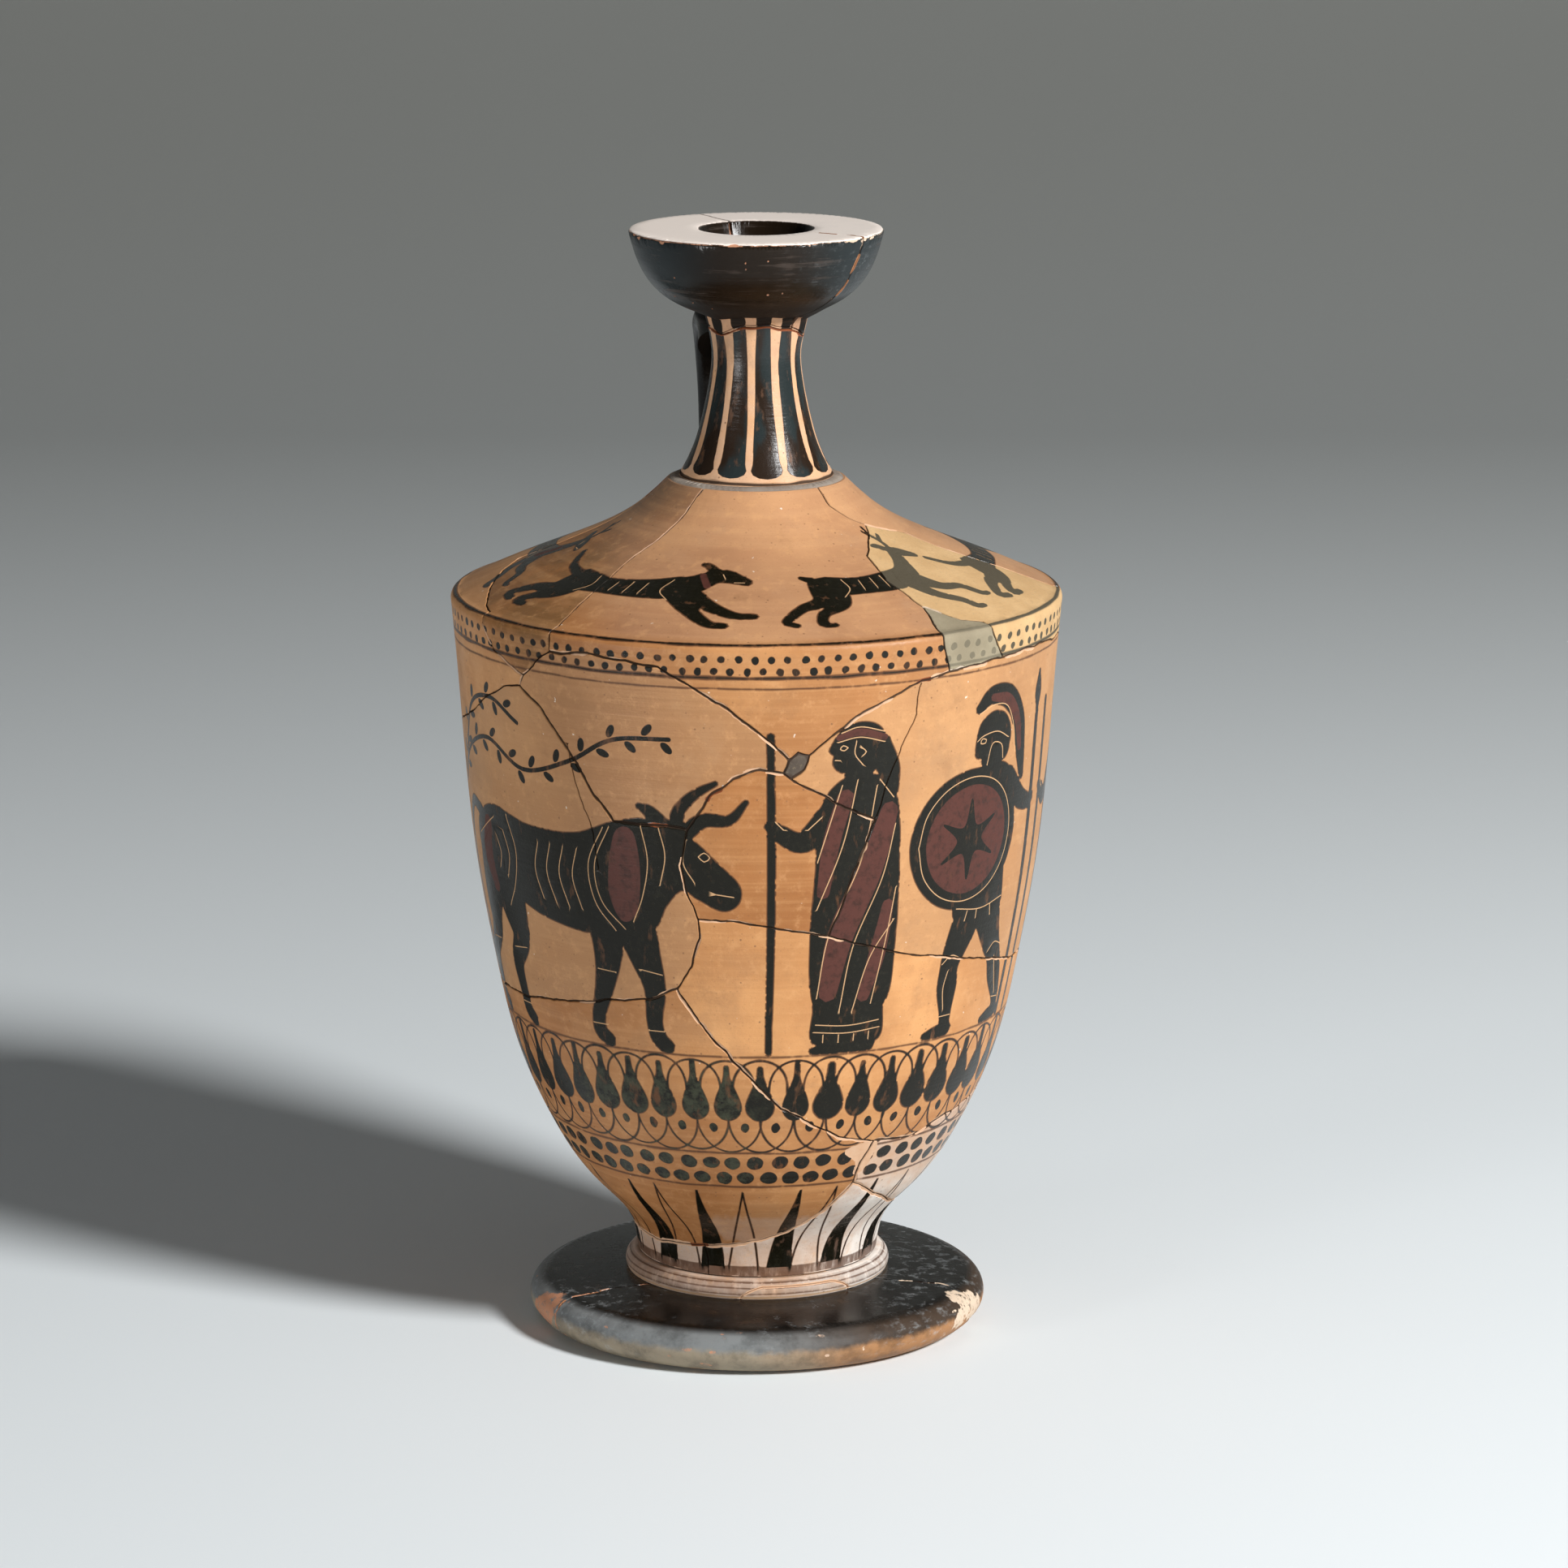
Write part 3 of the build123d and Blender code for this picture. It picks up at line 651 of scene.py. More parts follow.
# Gap, share of the edge that is chipped, width of the chips, in millimetres
LOOK = {"middle": (0.5, 0.5, 0.5), "base": (0.32, 0.9, 0.8), "lower": (0.5, 0.9, 0.7),
        "centre_top": (0.6, 0.75, 0.85), "front_top": (0.62, 0.5, 0.7), "front_left": (0.7, 0.2, 0.4),
        "chip": (0.6, 0.1, 0.4), "centre_right": (0.6, 0.3, 0.5), "front_shoulder_left": (0.42, 0.12, 0.4),
        "small_top": (0.6, 0.7, 0.9), "right_top": (0.55, 0.5, 0.8)}
SEEDS = (("base_sherd", -60, 0.015), ("base_sherd", 170, 0.02), ("base_sherd", -170, 0.02),
         ("lower_left_sherd", -50, 0.25), ("lower_small_sherd", 60, 0.17), ("lower_right_sherd", 60, 0.40),
         ("back_lower_sherd", 170, 0.25), ("back_lower_sherd", -170, 0.25), ("wall_centre_sherd", 0, 0.70),
         ("wall_front_sherd", -22, 0.88), ("wall_left_sherd", -50, 0.65), ("wall_right_sherd", 60, 0.75),
         ("chip_fill", 7.6, 0.838), ("band_fill", 43, 0.985), ("shoulder_fill", 66, 1.3),
         ("shoulder_front_sherd", 0, 1.4), ("shoulder_left_sherd", -66, 1.5),
         ("back_upper_sherd", 170, 0.8), ("back_upper_sherd", -170, 0.8))
TINT = {"base_sherd": {"pale": 0.85, "seed": 0.3},
        "base_fillet_chip": {"pale": 0.8, "grey": 0.2, "seed": 0.9},
        "lower_left_sherd": {"grey": 0.04, "seed": 0.27}, "lower_small_sherd": {"pale": 0.65, "seed": 0.6},
        "lower_right_sherd": {"seed": 0.56}, "back_lower_sherd": {"grey": 0.2, "seed": 0.45},
        # wall_front_sherd's grey is partly the sherd's greyer clay, partly a painted sheen of light mirrored
        # on the front-left wall.
        "wall_centre_sherd": {"seed": 0.24}, "wall_front_sherd": {"grey": 0.45, "seed": 0.24},
        "wall_left_sherd": {"grey": 0.5, "seed": 0.32}, "wall_right_sherd": {"grey": 0.4, "seed": 0.55},
        # shoulder_left_sherd's low seed darkens it: partly its own tone, partly painted shade on the shoulder
        # turned up and away from the lamps.
        "shoulder_front_sherd": {"grey": 0.05, "seed": 0.3}, "shoulder_left_sherd": {"seed": -0.3},
        # chip_fill's gap value darkens the whole fill: painted shade of the hollow it fills.
        "back_upper_sherd": {"grey": 0.2, "seed": 0.45}, "chip_fill": {"gap": 0.29}}


def wander(angle, s, line, key=0.0, size=0.45):
    """A break's point moved a little, always the same way at the same place."""
    turn = angle * PER_DEGREE
    r, z = float(line.r(s)), float(line.z(s))
    x, y = r * math.sin(turn), -r * math.cos(turn)
    moved = []
    for shift in (0.0, 41.7):
        wide = noise.noise((x / 5.0 + key + shift, y / 5.0 - shift, z / 5.0))
        fine = noise.noise((x / 1.3 + key - shift, y / 1.3, z / 1.3 + shift))
        moved.append(size * (wide + 0.35 * fine))
    return angle + moved[0] / (PER_DEGREE * max(r, 5.0)), s + moved[1]


def broken_line(points, line, to_s, step=0.9, size=0.45):
    """The wandering course of a break through its corner points."""
    course = []
    for (a0, l0), (a1, l1) in zip(points, points[1:]):
        s0, s1 = to_s(l0), to_s(l1)
        reach = math.hypot((a1 - a0) * PER_DEGREE * float(line.r((s0 + s1) / 2)), s1 - s0)
        count = max(1, int(reach / step))
        for k in range(count):
            t = k / count
            course.append(wander(a0 + (a1 - a0) * t, to_s(l0 + (l1 - l0) * t), line, size=size))
    course.append(wander(points[-1][0], to_s(points[-1][1]), line, size=size))
    return np.array(course)


def break_in(skin, course, gap, share, chip, rng, glue=0.05):
    """A break with its dark gap, chipped edges here and there, and old glue."""
    width = gap * (0.85 + 0.6 * np.array([rng.random() for _ in course]))
    skin.draw("gap", course, width, is_break=True)
    k = 0
    while k < len(course) - 3:
        run = min(rng.randint(3, 9), len(course) - 1 - k)
        roll = rng.random()
        side = rng.choice((-1, 1))
        if roll < share:
            part = skin.beside(course[k:k + run + 1], side * chip * 0.32)
            wide = [chip * rng.uniform(0.35, 1.0) for _ in part]
            wide[0] = wide[-1] = 0.12
            draw_stroke(skin, "chip", part, wide, 0.16, rng.uniform(0.75, 1.0))
        elif roll > 1.0 - glue:
            part = skin.beside(course[k:k + min(run, 4) + 1], side * 0.1)
            draw_stroke(skin, "glue", part, [rng.uniform(0.3, 0.8) for _ in part], 0.2, 1.0)
        k += run


def draw_stroke(skin, channel, course, widths, soft, value):
    """A stroke of changing width along points of the net."""
    course = np.asarray(course, float)
    mid = course.mean(0)
    per = PER_DEGREE * max(float(skin.line.r(mid[1])), 5.0)
    local = np.column_stack([(course[:, 0] - mid[0]) * per, course[:, 1] - mid[1], widths])
    skin.paint(channel, skin.flat(stroke(local), mid[0], mid[1]), soft, value)


# A generic frieze: animals, warriors with round shields and cloaked onlookers, in strokes of (x, y, width)
BULL = {
    "black": [
        blob([(-24, 35), (-18, 37), (-8, 35.6), (2, 36), (9, 38.6), (14.5, 39.8), (19.5, 38.6),
              (22.8, 36.4), (26.8, 32.4), (29.4, 29.4), (29.2, 26.6), (26.8, 25.4), (23.2, 27.2),
              (20.4, 28.6), (17.6, 25.6), (16.2, 22.6), (13.4, 20.2), (9.5, 20), (3, 19.6), (-6, 20.8),
              (-12.5, 22.2), (-17, 20), (-23, 21), (-26.2, 26.5), (-26.6, 32)]),
        stroke([(11, 26, 8.5), (13.4, 17, 5.4), (14.8, 11.2, 3.5), (14.3, 5.4, 2.5), (14.9, 2.4, 2.6),
                (16.4, 1.0, 2.2)]),
        stroke([(7, 25, 8), (6.6, 16.4, 5), (5.2, 10.6, 3.3), (3.3, 5.4, 2.4), (3.2, 2.4, 2.5),
                (4.8, 1.0, 2.2)]),
        stroke([(-18.5, 28, 12), (-15.6, 20.4, 8.2), (-14.8, 15.2, 5), (-17.4, 10.6, 3.4),
                (-17.1, 5.4, 2.5), (-16.7, 2.4, 2.6), (-15.2, 1.0, 2.2)]),
        stroke([(-21.5, 28, 10.5), (-24, 20.4, 7.4), (-25.2, 14.8, 4.6), (-28.8, 10.4, 3.3),
                (-29.3, 5.4, 2.5), (-29.0, 2.4, 2.6), (-27.4, 1.0, 2.2)]),
        stroke([(-24.5, 35, 2), (-29, 35.6, 1.4), (-32.4, 30, 1.1), (-32.2, 21, 1.0), (-31.6, 14, 1.2),
                (-32, 9, 2.7), (-31, 4.6, 0.7)]),
        stroke([(20.6, 37.4, 2.4), (24, 40.2, 1.9), (28, 40.4, 1.3), (30.6, 43.4, 0.4)]),
        stroke([(19.6, 38, 2.2), (20.4, 41.8, 1.6), (23, 44.6, 1.1), (26, 46.4, 0.4)]),
        stroke([(18.6, 38.4, 2.2), (15.6, 41.2, 1.7), (13.9, 42, 0.6)])],
    "red": [
        blob([(9.6, 37), (12.6, 37.6), (13.6, 31), (12.6, 24), (9.8, 22.6), (8, 28)]),
        stroke([(-21.5, 33.6, 2.6), (-22.8, 28, 3.6), (-21, 23, 2.2)])],
    "cut": [
        [(8.6, 38), (5.6, 31.5), (6.4, 25.4), (10.4, 21)],
        [(7.5, 37.8), (4.4, 31.4), (5.2, 25), (8.6, 20.6)], [(14, 39), (15, 33), (13.9, 27), (12, 22.4)],
        [(17, 38.6), (17.9, 34), (16.9, 29)], [(21.3, 36.8), (20.8, 33), (22.5, 29.8)],
        [(28.6, 27.6), (25.8, 28)], [(23.2, 34.2), (24.1, 34.9), (25, 34.1), (24.1, 33.4), (23.2, 34.2)],
        [(-3.4, 33.4), (-4.6, 28.6), (-3, 23.4)], [(-0.6, 33.4), (-1.8, 28.6), (-0.2, 23.2)],
        [(2.2, 33.4), (1, 28.6), (2.4, 23.4)], [(-6.2, 33.2), (-7.4, 28.6), (-6, 23.8)],
        [(-14.4, 36), (-12.4, 30.6), (-13.6, 25), (-16.4, 20.6)], [(-16, 33.4), (-14.6, 29.6), (-15.6, 26)],
        [(-18.6, 32), (-17.4, 29.4), (-18.2, 26.8)], [(-26, 31), (-19, 35)], [(12.8, 14.2), (16.4, 13.6)],
        [(4.4, 13.4), (7.6, 13.2)], [(-17.4, 13.2), (-13.4, 13.8)], [(-28, 12.8), (-24, 13.2)],
        [(13.2, 3.6), (16, 3.6)], [(1.8, 3.6), (4.8, 3.6)], [(-18.4, 3.6), (-15.4, 3.6)],
        [(-30.6, 3.6), (-27.6, 3.6)]],
}
WARRIOR = {
    "black": [
        stroke([(2, 25, 8.2), (5.5, 16.6, 5.6), (6.4, 13.2, 4.3), (6.2, 9.4, 4.7), (5.6, 4.5, 2.7),
                (5.4, 2.4, 2.4)]),
        stroke([(4.6, 1.5, 2.3), (8, 1.1, 1.9), (10.6, 0.7, 0.8)]),
        stroke([(-1.5, 25, 8.4), (-5.2, 17, 5.6), (-7.4, 13.4, 4.3), (-9.2, 9.4, 4.5), (-11.8, 4.6, 2.7),
                (-12.3, 2.6, 2.4)]),
        stroke([(-13, 1.5, 2.3), (-9.6, 1.1, 1.9), (-7.2, 0.7, 0.8)]),
        blob([(-6.2, 22), (0, 21.4), (6.8, 22.4), (6.8, 30), (5.4, 38), (5.8, 45), (3.2, 49.2),
              (-3.2, 49.4), (-6, 45.5), (-4.8, 38), (-5.8, 30)]),
        blob([(18, 37), (16.2, 43.4), (11.5, 48), (5, 49.6), (-1.5, 48), (-6.2, 43.4), (-8, 37),
              (-6.2, 30.6), (-1.5, 26), (5, 24.4), (11.5, 26), (16.2, 30.6)]),
        stroke([(0, 48, 4.8), (0.4, 52, 4.4)]),
        blob([(-3.7, 51.2), (-4.4, 54.6), (-3, 57.9), (0.4, 59.3), (3.6, 57.9), (4.6, 55.4), (4.9, 52.2),
              (3.7, 51.6), (3.4, 53.2), (2.9, 49.9), (0.8, 48.9), (-1.8, 49.9)]),
        stroke([(4.6, 60.4, 1.4), (1.4, 62.4, 3.0), (-3.2, 61.4, 3.7), (-6.8, 57, 3.5), (-8.2, 51.4, 2.8),
                (-9.4, 46, 1.2)]),
        stroke([(-4.5, 46.4, 4.4), (-9.4, 42, 3.5), (-13.2, 40.6, 2.6), (-14.6, 41, 2.2)]),
        stroke([(-14.8, 0.5, 0.9), (-14.6, 35, 1.0), (-14.4, 58, 0.9)]),
        stroke([(-14.4, 57, 0.6), (-14.4, 60.2, 2.3), (-14.4, 64, 0.3)])],
    "red": [
        blob([(14.8, 37), (13.4, 42), (10, 45.4), (5, 46.8), (0, 45.4), (-3.4, 42), (-4.8, 37), (-3.4, 32),
              (0, 28.6), (5, 27.2), (10, 28.6), (13.4, 32)]),
        stroke([(1.2, 62, 1.2), (-3.2, 60.9, 1.9), (-6.5, 56.8, 1.8), (-7.9, 51.4, 1.2)])],
    "black_over": [
        blob([(5, 44.4), (6.6, 39.4), (11.4, 40.6), (8, 37), (11.4, 33.4), (6.6, 34.6), (5, 29.6),
              (3.4, 34.6), (-1.4, 33.4), (2, 37), (-1.4, 40.6), (3.4, 39.4)])],
    "cut": [
        [(16.4, 37), (14.9, 42.7), (10.8, 46.8), (5, 48.3), (-0.8, 46.8), (-4.9, 42.7), (-6.4, 37),
         (-4.9, 31.3), (-0.8, 27.2), (5, 25.7), (10.8, 27.2), (14.9, 31.3), (16.4, 37)],
        [(-3.9, 54), (-0.6, 55.6), (3, 55.4), (4.6, 54.6)],
        [(2.4, 54.6), (3.4, 54.9), (3.8, 54.1), (2.6, 54), (2.4, 54.6)],
        [(-2.6, 50.4), (-2, 53), (0.6, 53.6), (1.8, 50)],
        [(4.4, 59.5), (0.8, 60.6), (-3, 59.8), (-5.4, 55.8), (-6.4, 51)],
        [(-6.6, 24.4), (0, 23.4), (6.6, 24.4)], [(-3, 23.6), (-3.4, 21.8)], [(1, 23.4), (1, 21.8)],
        [(3.6, 23.6), (4, 22)], [(3.6, 14.6), (6.2, 15.6), (8.4, 14.2)], [(4.2, 4), (7, 4)],
        [(6.6, 12.6), (7.2, 9.4), (6.4, 5.4)], [(-9.6, 14.8), (-7, 15.6), (-5, 14.2)],
        [(-13.2, 4), (-10.4, 4.4)], [(-8, 12.8), (-9.4, 9.2), (-11.2, 5.4)]],
}
CLOAKED = {
    "black": [
        stroke([(-4.6, 1.3, 2.2), (-1.4, 1.0, 1.8), (0.8, 0.7, 0.8)]),
        stroke([(1.2, 1.3, 2.2), (4.4, 1.0, 1.8), (6.6, 0.7, 0.8)]),
        blob([(-6.4, 2.2), (0, 1.9), (6.4, 2.2), (6.6, 8), (6, 14), (-6, 14), (-6.6, 8)]),
        blob([(-6.9, 9), (-7.8, 20), (-7.5, 34), (-6.8, 44.6), (-4.2, 49.4), (0, 50.6), (3.8, 49.2),
              (6.6, 44.4), (7, 34), (7.6, 22), (6.6, 10), (0.5, 6.8)]),
        stroke([(0, 49, 4.6), (0.4, 53, 4.2)]),
        blob([(0, 59.8), (2.8, 59), (4.1, 57.2), (5.2, 55.2), (4.4, 54.4), (4.5, 52.8), (3.4, 51.5),
              (1.4, 51.2), (-1.4, 51), (-3.8, 53), (-4.4, 56.2), (-2.8, 59)]),
        stroke([(-2.8, 56, 4), (-4.9, 51.4, 3.6), (-5.4, 47, 2.2), (-5.2, 44.6, 0.8)]),
        stroke([(3.8, 44.5, 5), (9.2, 39.4, 3.4), (13.2, 41, 2.5), (14.6, 42.2, 1.9)]),
        stroke([(14.8, 0.6, 0.8), (14.5, 30, 0.95), (14.7, 58, 0.85)])],
    "red": [
        stroke([(-5.4, 44, 3.0), (-2.4, 34, 4.4), (2.4, 22, 4.6), (4.2, 11.5, 3.2)]),
        stroke([(-6, 27, 2.0), (-4.6, 18, 3.0), (-2.6, 10.5, 2.2)]),
        stroke([(2.4, 47, 2.6), (4.6, 39, 2.8), (5.8, 30, 2.0)]),
        stroke([(-4, 57, 1.0), (0.2, 58.2, 1.2), (3.7, 57.4, 0.9)])],
    "cut": [
        [(-3, 48.6), (-0.8, 36), (4.4, 22.6), (6.2, 10.6)], [(-6.6, 41.5), (-4.6, 32), (0, 20), (1.8, 8.2)],
        [(-7.3, 30), (-6, 20), (-4.2, 8.8)], [(0.4, 49.8), (2.6, 38.6), (6.8, 27)],
        [(3, 49), (5.6, 40), (6.9, 35.5)], [(-7.2, 24), (-3.2, 17.4), (-0.6, 7.6)],
        [(-6.4, 4.2), (0, 3.7), (6.4, 4.2)], [(-6.2, 5.6), (0, 5.1), (6.2, 5.6)],
        [(-4.4, 3.6), (-4.4, 2.2)], [(-1.4, 3.4), (-1.4, 2.1)], [(1.6, 3.4), (1.6, 2.1)],
        [(4.6, 3.6), (4.6, 2.2)], [(-4, 56.2), (0.2, 57.3), (3.9, 56.6)],
        [(-4, 58), (0.2, 59.1), (3.3, 58.2)], [(2.2, 55.6), (3, 56), (3.5, 55.4), (2.8, 55.1), (2.2, 55.6)],
        [(0.8, 56.6), (1, 54.4), (-0.4, 52.4)], [(-0.2, 55.4), (-0.9, 54.7), (-0.3, 54)],
        [(4.3, 53.5), (3.4, 53.4)], [(-5.9, 46.4), (-3.6, 49.4)], [(12.6, 41.6), (13.9, 43)],
        [(6.4, 43.5), (8.6, 41.4)]],
}
HOUND = {
    "black": [
        stroke([(-9, 8.4, 4.8), (-4, 8.2, 3.5), (2, 8.6, 4.2), (7, 9.5, 5.2), (9.4, 10.6, 4.2),
                (12, 12.6, 3.1), (14.2, 12.8, 2.7), (17.4, 11.5, 1.3)]),
        stroke([(12.6, 13.4, 1.4), (10.6, 15.2, 1.0), (9.4, 15.6, 0.4)]),
        stroke([(8.4, 9, 3.8), (12.4, 5.6, 2.0), (16, 3.2, 1.2), (18.4, 3, 0.9)]),
        stroke([(7.4, 8.6, 3.6), (10.6, 4, 1.8), (13.2, 1.1, 1.1), (15, 0.7, 0.9)]),
        stroke([(-9.4, 8.4, 5.4), (-11.6, 5.4, 2.8), (-14.8, 4.4, 1.6), (-17.2, 1.7, 1.2),
                (-15.8, 0.8, 0.9)]),
        stroke([(-8.4, 8, 4.8), (-9.8, 4.6, 2.4), (-12.8, 2.6, 1.4), (-14, 0.8, 1.1), (-12.4, 0.5, 0.8)]),
        stroke([(-11, 9.6, 1.4), (-15, 11, 0.9), (-18.6, 14.2, 0.5)])],
    "red": [stroke([(10.2, 13, 0.9), (11.6, 10.2, 0.9)])],
    "cut": [[(6, 11.4), (5, 8.6), (6.8, 6.4)], [(-6.6, 10.2), (-6.2, 7.8), (-7.8, 5.8)],
            [(-2.4, 9.2), (-2.6, 7.2)], [(0, 9.6), (-0.2, 7.2)], [(2.4, 10), (2.1, 7.4)],
            [(13.4, 13.4), (13.9, 12.4)], [(15.4, 11.4), (17, 11.4)]],
}
DEER = {
    "black": [
        stroke([(-9, 12, 5.6), (-3, 11.6, 4.6), (4, 12, 5.2), (8.4, 13.2, 4.6), (11, 16.4, 3),
                (12.8, 19.4, 2.5), (14.6, 19.2, 2.3), (17.4, 17.6, 1.1)]),
        stroke([(12.6, 20, 1.2), (10.4, 21.8, 1.2), (9, 22.2, 0.4)]),
        stroke([(13.4, 20.4, 0.8), (13.2, 23.6, 0.7), (11.2, 26, 0.4)]),
        stroke([(13.3, 23, 0.7), (15.2, 24.6, 0.4)]), stroke([(12.4, 25, 0.5), (12.6, 27, 0.35)]),
        stroke([(8.4, 12, 4), (12, 8, 2), (15.6, 6.8, 1.3), (17.6, 3.6, 1.0), (18.8, 3.2, 0.7)]),
        stroke([(7, 11.6, 4), (8.6, 6.6, 1.9), (12, 3.2, 1.2), (13.2, 0.9, 1.0), (14.4, 0.6, 0.7)]),
        stroke([(-9.6, 12, 6), (-11.4, 7.6, 3), (-15, 5.6, 1.6), (-17.6, 2, 1.1), (-16.4, 0.8, 0.8)]),
        stroke([(-8.4, 11.4, 5), (-8.6, 6.6, 2.5), (-12, 3.8, 1.4), (-12.6, 1, 1.1), (-11.2, 0.6, 0.8)]),
        stroke([(-11.4, 14, 1.6), (-13.4, 15, 0.6)])],
    "red": [stroke([(9.4, 15.2, 1.6), (7.6, 11.4, 2.0)])],
    "cut": [[(6, 14.4), (5, 11.4), (6.8, 9)], [(-5.8, 13.6), (-5.4, 11), (-7.2, 8.6)],
            [(-2.6, 13), (-2.8, 10.6)], [(0, 13.2), (-0.2, 10.6)], [(2.4, 13.4), (2.2, 10.8)],
            [(13.6, 19.8), (14.2, 18.9)], [(15.6, 17.8), (17, 17.7)]],
}


def figure(skin, parts, angle, s, radius, mirror=1.0, scale=1.0):
    """One figure of the frieze, laid on the surface with its scratched lines."""
    for part in parts["black"] + parts.get("black_over", []):
        skin.paint("gloss", skin.flat(part, angle, s, radius, mirror, scale), 0.5)
    for part in parts["red"]:
        skin.paint("red", skin.flat(part, angle, s, radius, mirror, scale), 0.16)
    for part in parts.get("black_over", []):
        skin.paint("lime", skin.flat(part, angle, s, radius, mirror, scale), 0.1)
    per = 1.0 / (PER_DEGREE * radius)
    for line in parts["cut"]:
        c = smooth(line, step=0.7)
        skin.draw("cut", np.stack([angle + mirror * scale * per * c[:, 0], s + scale * c[:, 1]], 1), 0.38)


def branch(skin, angle, s, points):
    """A twig with small leaves, to fill the field above the animals."""
    c = smooth([(x, y, 0.75) for x, y in points], step=0.6)
    skin.paint("gloss", skin.flat(stroke(c[::3]), angle, s, FRIEZE_R), 0.15, 0.85)
    side = sideways(c)
    for k in range(5, len(c) - 2, 6):
        flip = 1 if k % 12 < 6 else -1
        x, y = c[k, :2] + side[k] * 1.7 * flip
        leaf = disc(x, y, 2.6, 1.3, math.atan2(side[k][1], side[k][0]) - 0.7 * flip)
        skin.paint("gloss", skin.flat(leaf, angle, s, FRIEZE_R), 0.18, 0.95)


def dot_rows(skin, rng, heights, count, shift, wide, high, turn, corners, uneven, soft, value):
    """Rows of brushed dots, each row half a step on from the last; ranges are drawn evenly."""
    for row, z in enumerate(heights):
        for k in range(count):
            angle = -TURN + 360.0 / count * (k + 0.5 * row) + rng.uniform(-shift, shift)
            dot = disc(0, 0, rng.uniform(*wide), rng.uniform(*high), rng.uniform(*turn), corners, uneven,
                       rng)
            s = wall_s(z) + rng.uniform(-0.15, 0.15)
            skin.paint("gloss", skin.flat(dot, angle, s), soft, rng.uniform(*value))


def ornament(skin, rng):
    """The traditional bands: dots under the shoulder, buds on arcs, large dots, rays."""
    dot_rows(skin, rng, (145.6, 143.2), 120, 0.25, (1.1, 1.45), (1.1, 1.4), (0, 1.5), 9, 0.12, 0.22,
             (0.72, 1.0))
    skin.ring("gloss", BODY.find(RIDGE, 148.3, 1), 1.5, 1.0, 0.15, 1.0)
    for z, wide, value, key in ((142.0, 1.35, 0.85, 2.0), (139.9, 1.1, 0.52, 3.0), (66.0, 1.2, 0.52, 4.0)):
        skin.ring("gloss", wall_s(z), wide, value, 0.15, key)
    count = 46
    pitch = 360.0 / count
    for k in range(count):
        angle = 1.2 + pitch * k - TURN + rng.uniform(-0.35, 0.35)
        r = float(skin.line.r(wall_s(56.0)))
        wide = rng.uniform(0.92, 1.08)
        top = rng.uniform(64.2, 65.4) - 56.0
        half = [(0.35, top - 0.2), (0.5, 6.2), (0.9, 4.7), (1.55, 3.0), (2.25, 1.1), (2.65, -0.7),
                (2.4, -2.2), (1.5, -3.4), (0.5, -3.9)]
        bud = blob([(0, top)] + [(x * wide, y) for x, y in half] + [(-x * wide, y) for x, y in half[::-1]])
        skin.paint("gloss", skin.flat(bud, angle, wall_s(56.0), r), rng.choice((0.35, 0.45, 0.65)),
                   rng.uniform(0.85, 1.0))
        lift = rng.uniform(-0.3, 0.3)
        t = np.linspace(0, math.pi, 26)
        for mid, reach, ends, crown, bend, widths in (
                (angle, 0.8 * pitch, 58.6, 65.4, 0.8, (0.78, 0.95)),
                (angle + pitch, pitch, 52.7, 45.3, 0.9, (0.72, 0.9))):
            rise = (wall_s(crown + lift) - wall_s(ends)) * np.sin(t) ** bend
            course = np.stack([mid - reach * np.cos(t), wall_s(ends) + rise], 1)
            skin.draw("gloss", course, rng.uniform(*widths), rng.uniform(0.85, 1.0))
        dot = disc(0, 0, rng.uniform(1.35, 1.6), rng.uniform(2.0, 2.4), rng.uniform(-0.3, 0.3), 9, 0.1, rng)
        skin.paint("gloss", skin.flat(dot, angle + pitch / 2, wall_s(50.6)), 0.2, 0.9)
    skin.ring("gloss", wall_s(44.7), 1.25, 0.58, 0.2, 5.0)
    skin.ring("gloss", wall_s(36.8), 1.35, 0.58, 0.2, 6.0)
    dot_rows(skin, rng, (42.5, 38.9), 58, 0.5, (2.8, 3.2), (2.7, 3.2), (-0.3, 0.2), 12, 0.06, 0.25,
             (0.85, 1.0))
    rays = (-46, -21, 10.5, 37, 66, 96, 126, 155, 183, 213, 246, 281, 314)
    for angle, following in zip(rays, rays[1:]):
        lean = rng.uniform(1.2, 2.4)
        low, high = wall_s(16.2), wall_s(36.0 + rng.uniform(-0.8, 0.2))
        ray_s = np.linspace(low, high, 14)
        share = np.linspace(0.0, 1.0, 14)

        def laid(grow, angle=angle, s=ray_s, t=share, lean=lean):
            per = 1.0 / (PER_DEGREE * skin.line.r(s))
            half = 2.3 * (1.0 - t) + 0.1 + grow
            sides = [np.stack([angle + (lean * t + side * half) * per, s + grow * t], 1)
                     for side in (-1, 1)]
            return np.concatenate([sides[1], sides[0][::-1]])
        skin.paint("gloss", laid, 0.3, 0.95)
        angle = (angle + following) / 2 - 1.0
        for foot in (-2.9, 2.9):
            across = (foot + (1.4 - foot) * share) / (PER_DEGREE * skin.line.r(ray_s))
            skin.draw("gloss", np.stack([angle + across, ray_s], 1), 0.75, 0.95)
    skin.band("gloss", wall_s(14.5), wall_s(16.3), 0.4, 0.46, 0.2, 7.0)
    skin.band("gloss", BODY.find(BEAD, 11.2, 1), BODY.find(BEAD, 13.8, 1), 0.5, 0.3, 0.1, 11.0)
    skin.ring("gap", wall_s(14.02), 0.5, 0.7, 0.05, 10.0)
    for z, wide, value in ((13.5, 0.6, 0.55), (12.5, 0.5, 0.5), (11.3, 0.7, 0.45)):
        skin.ring("gloss", BODY.find(BEAD, z, 1), wide, value, 0.08, z)
    skin.ring("cut", BODY.find(BEAD, 10.6, 1), 0.7, 0.9, 0.05, 9.0)


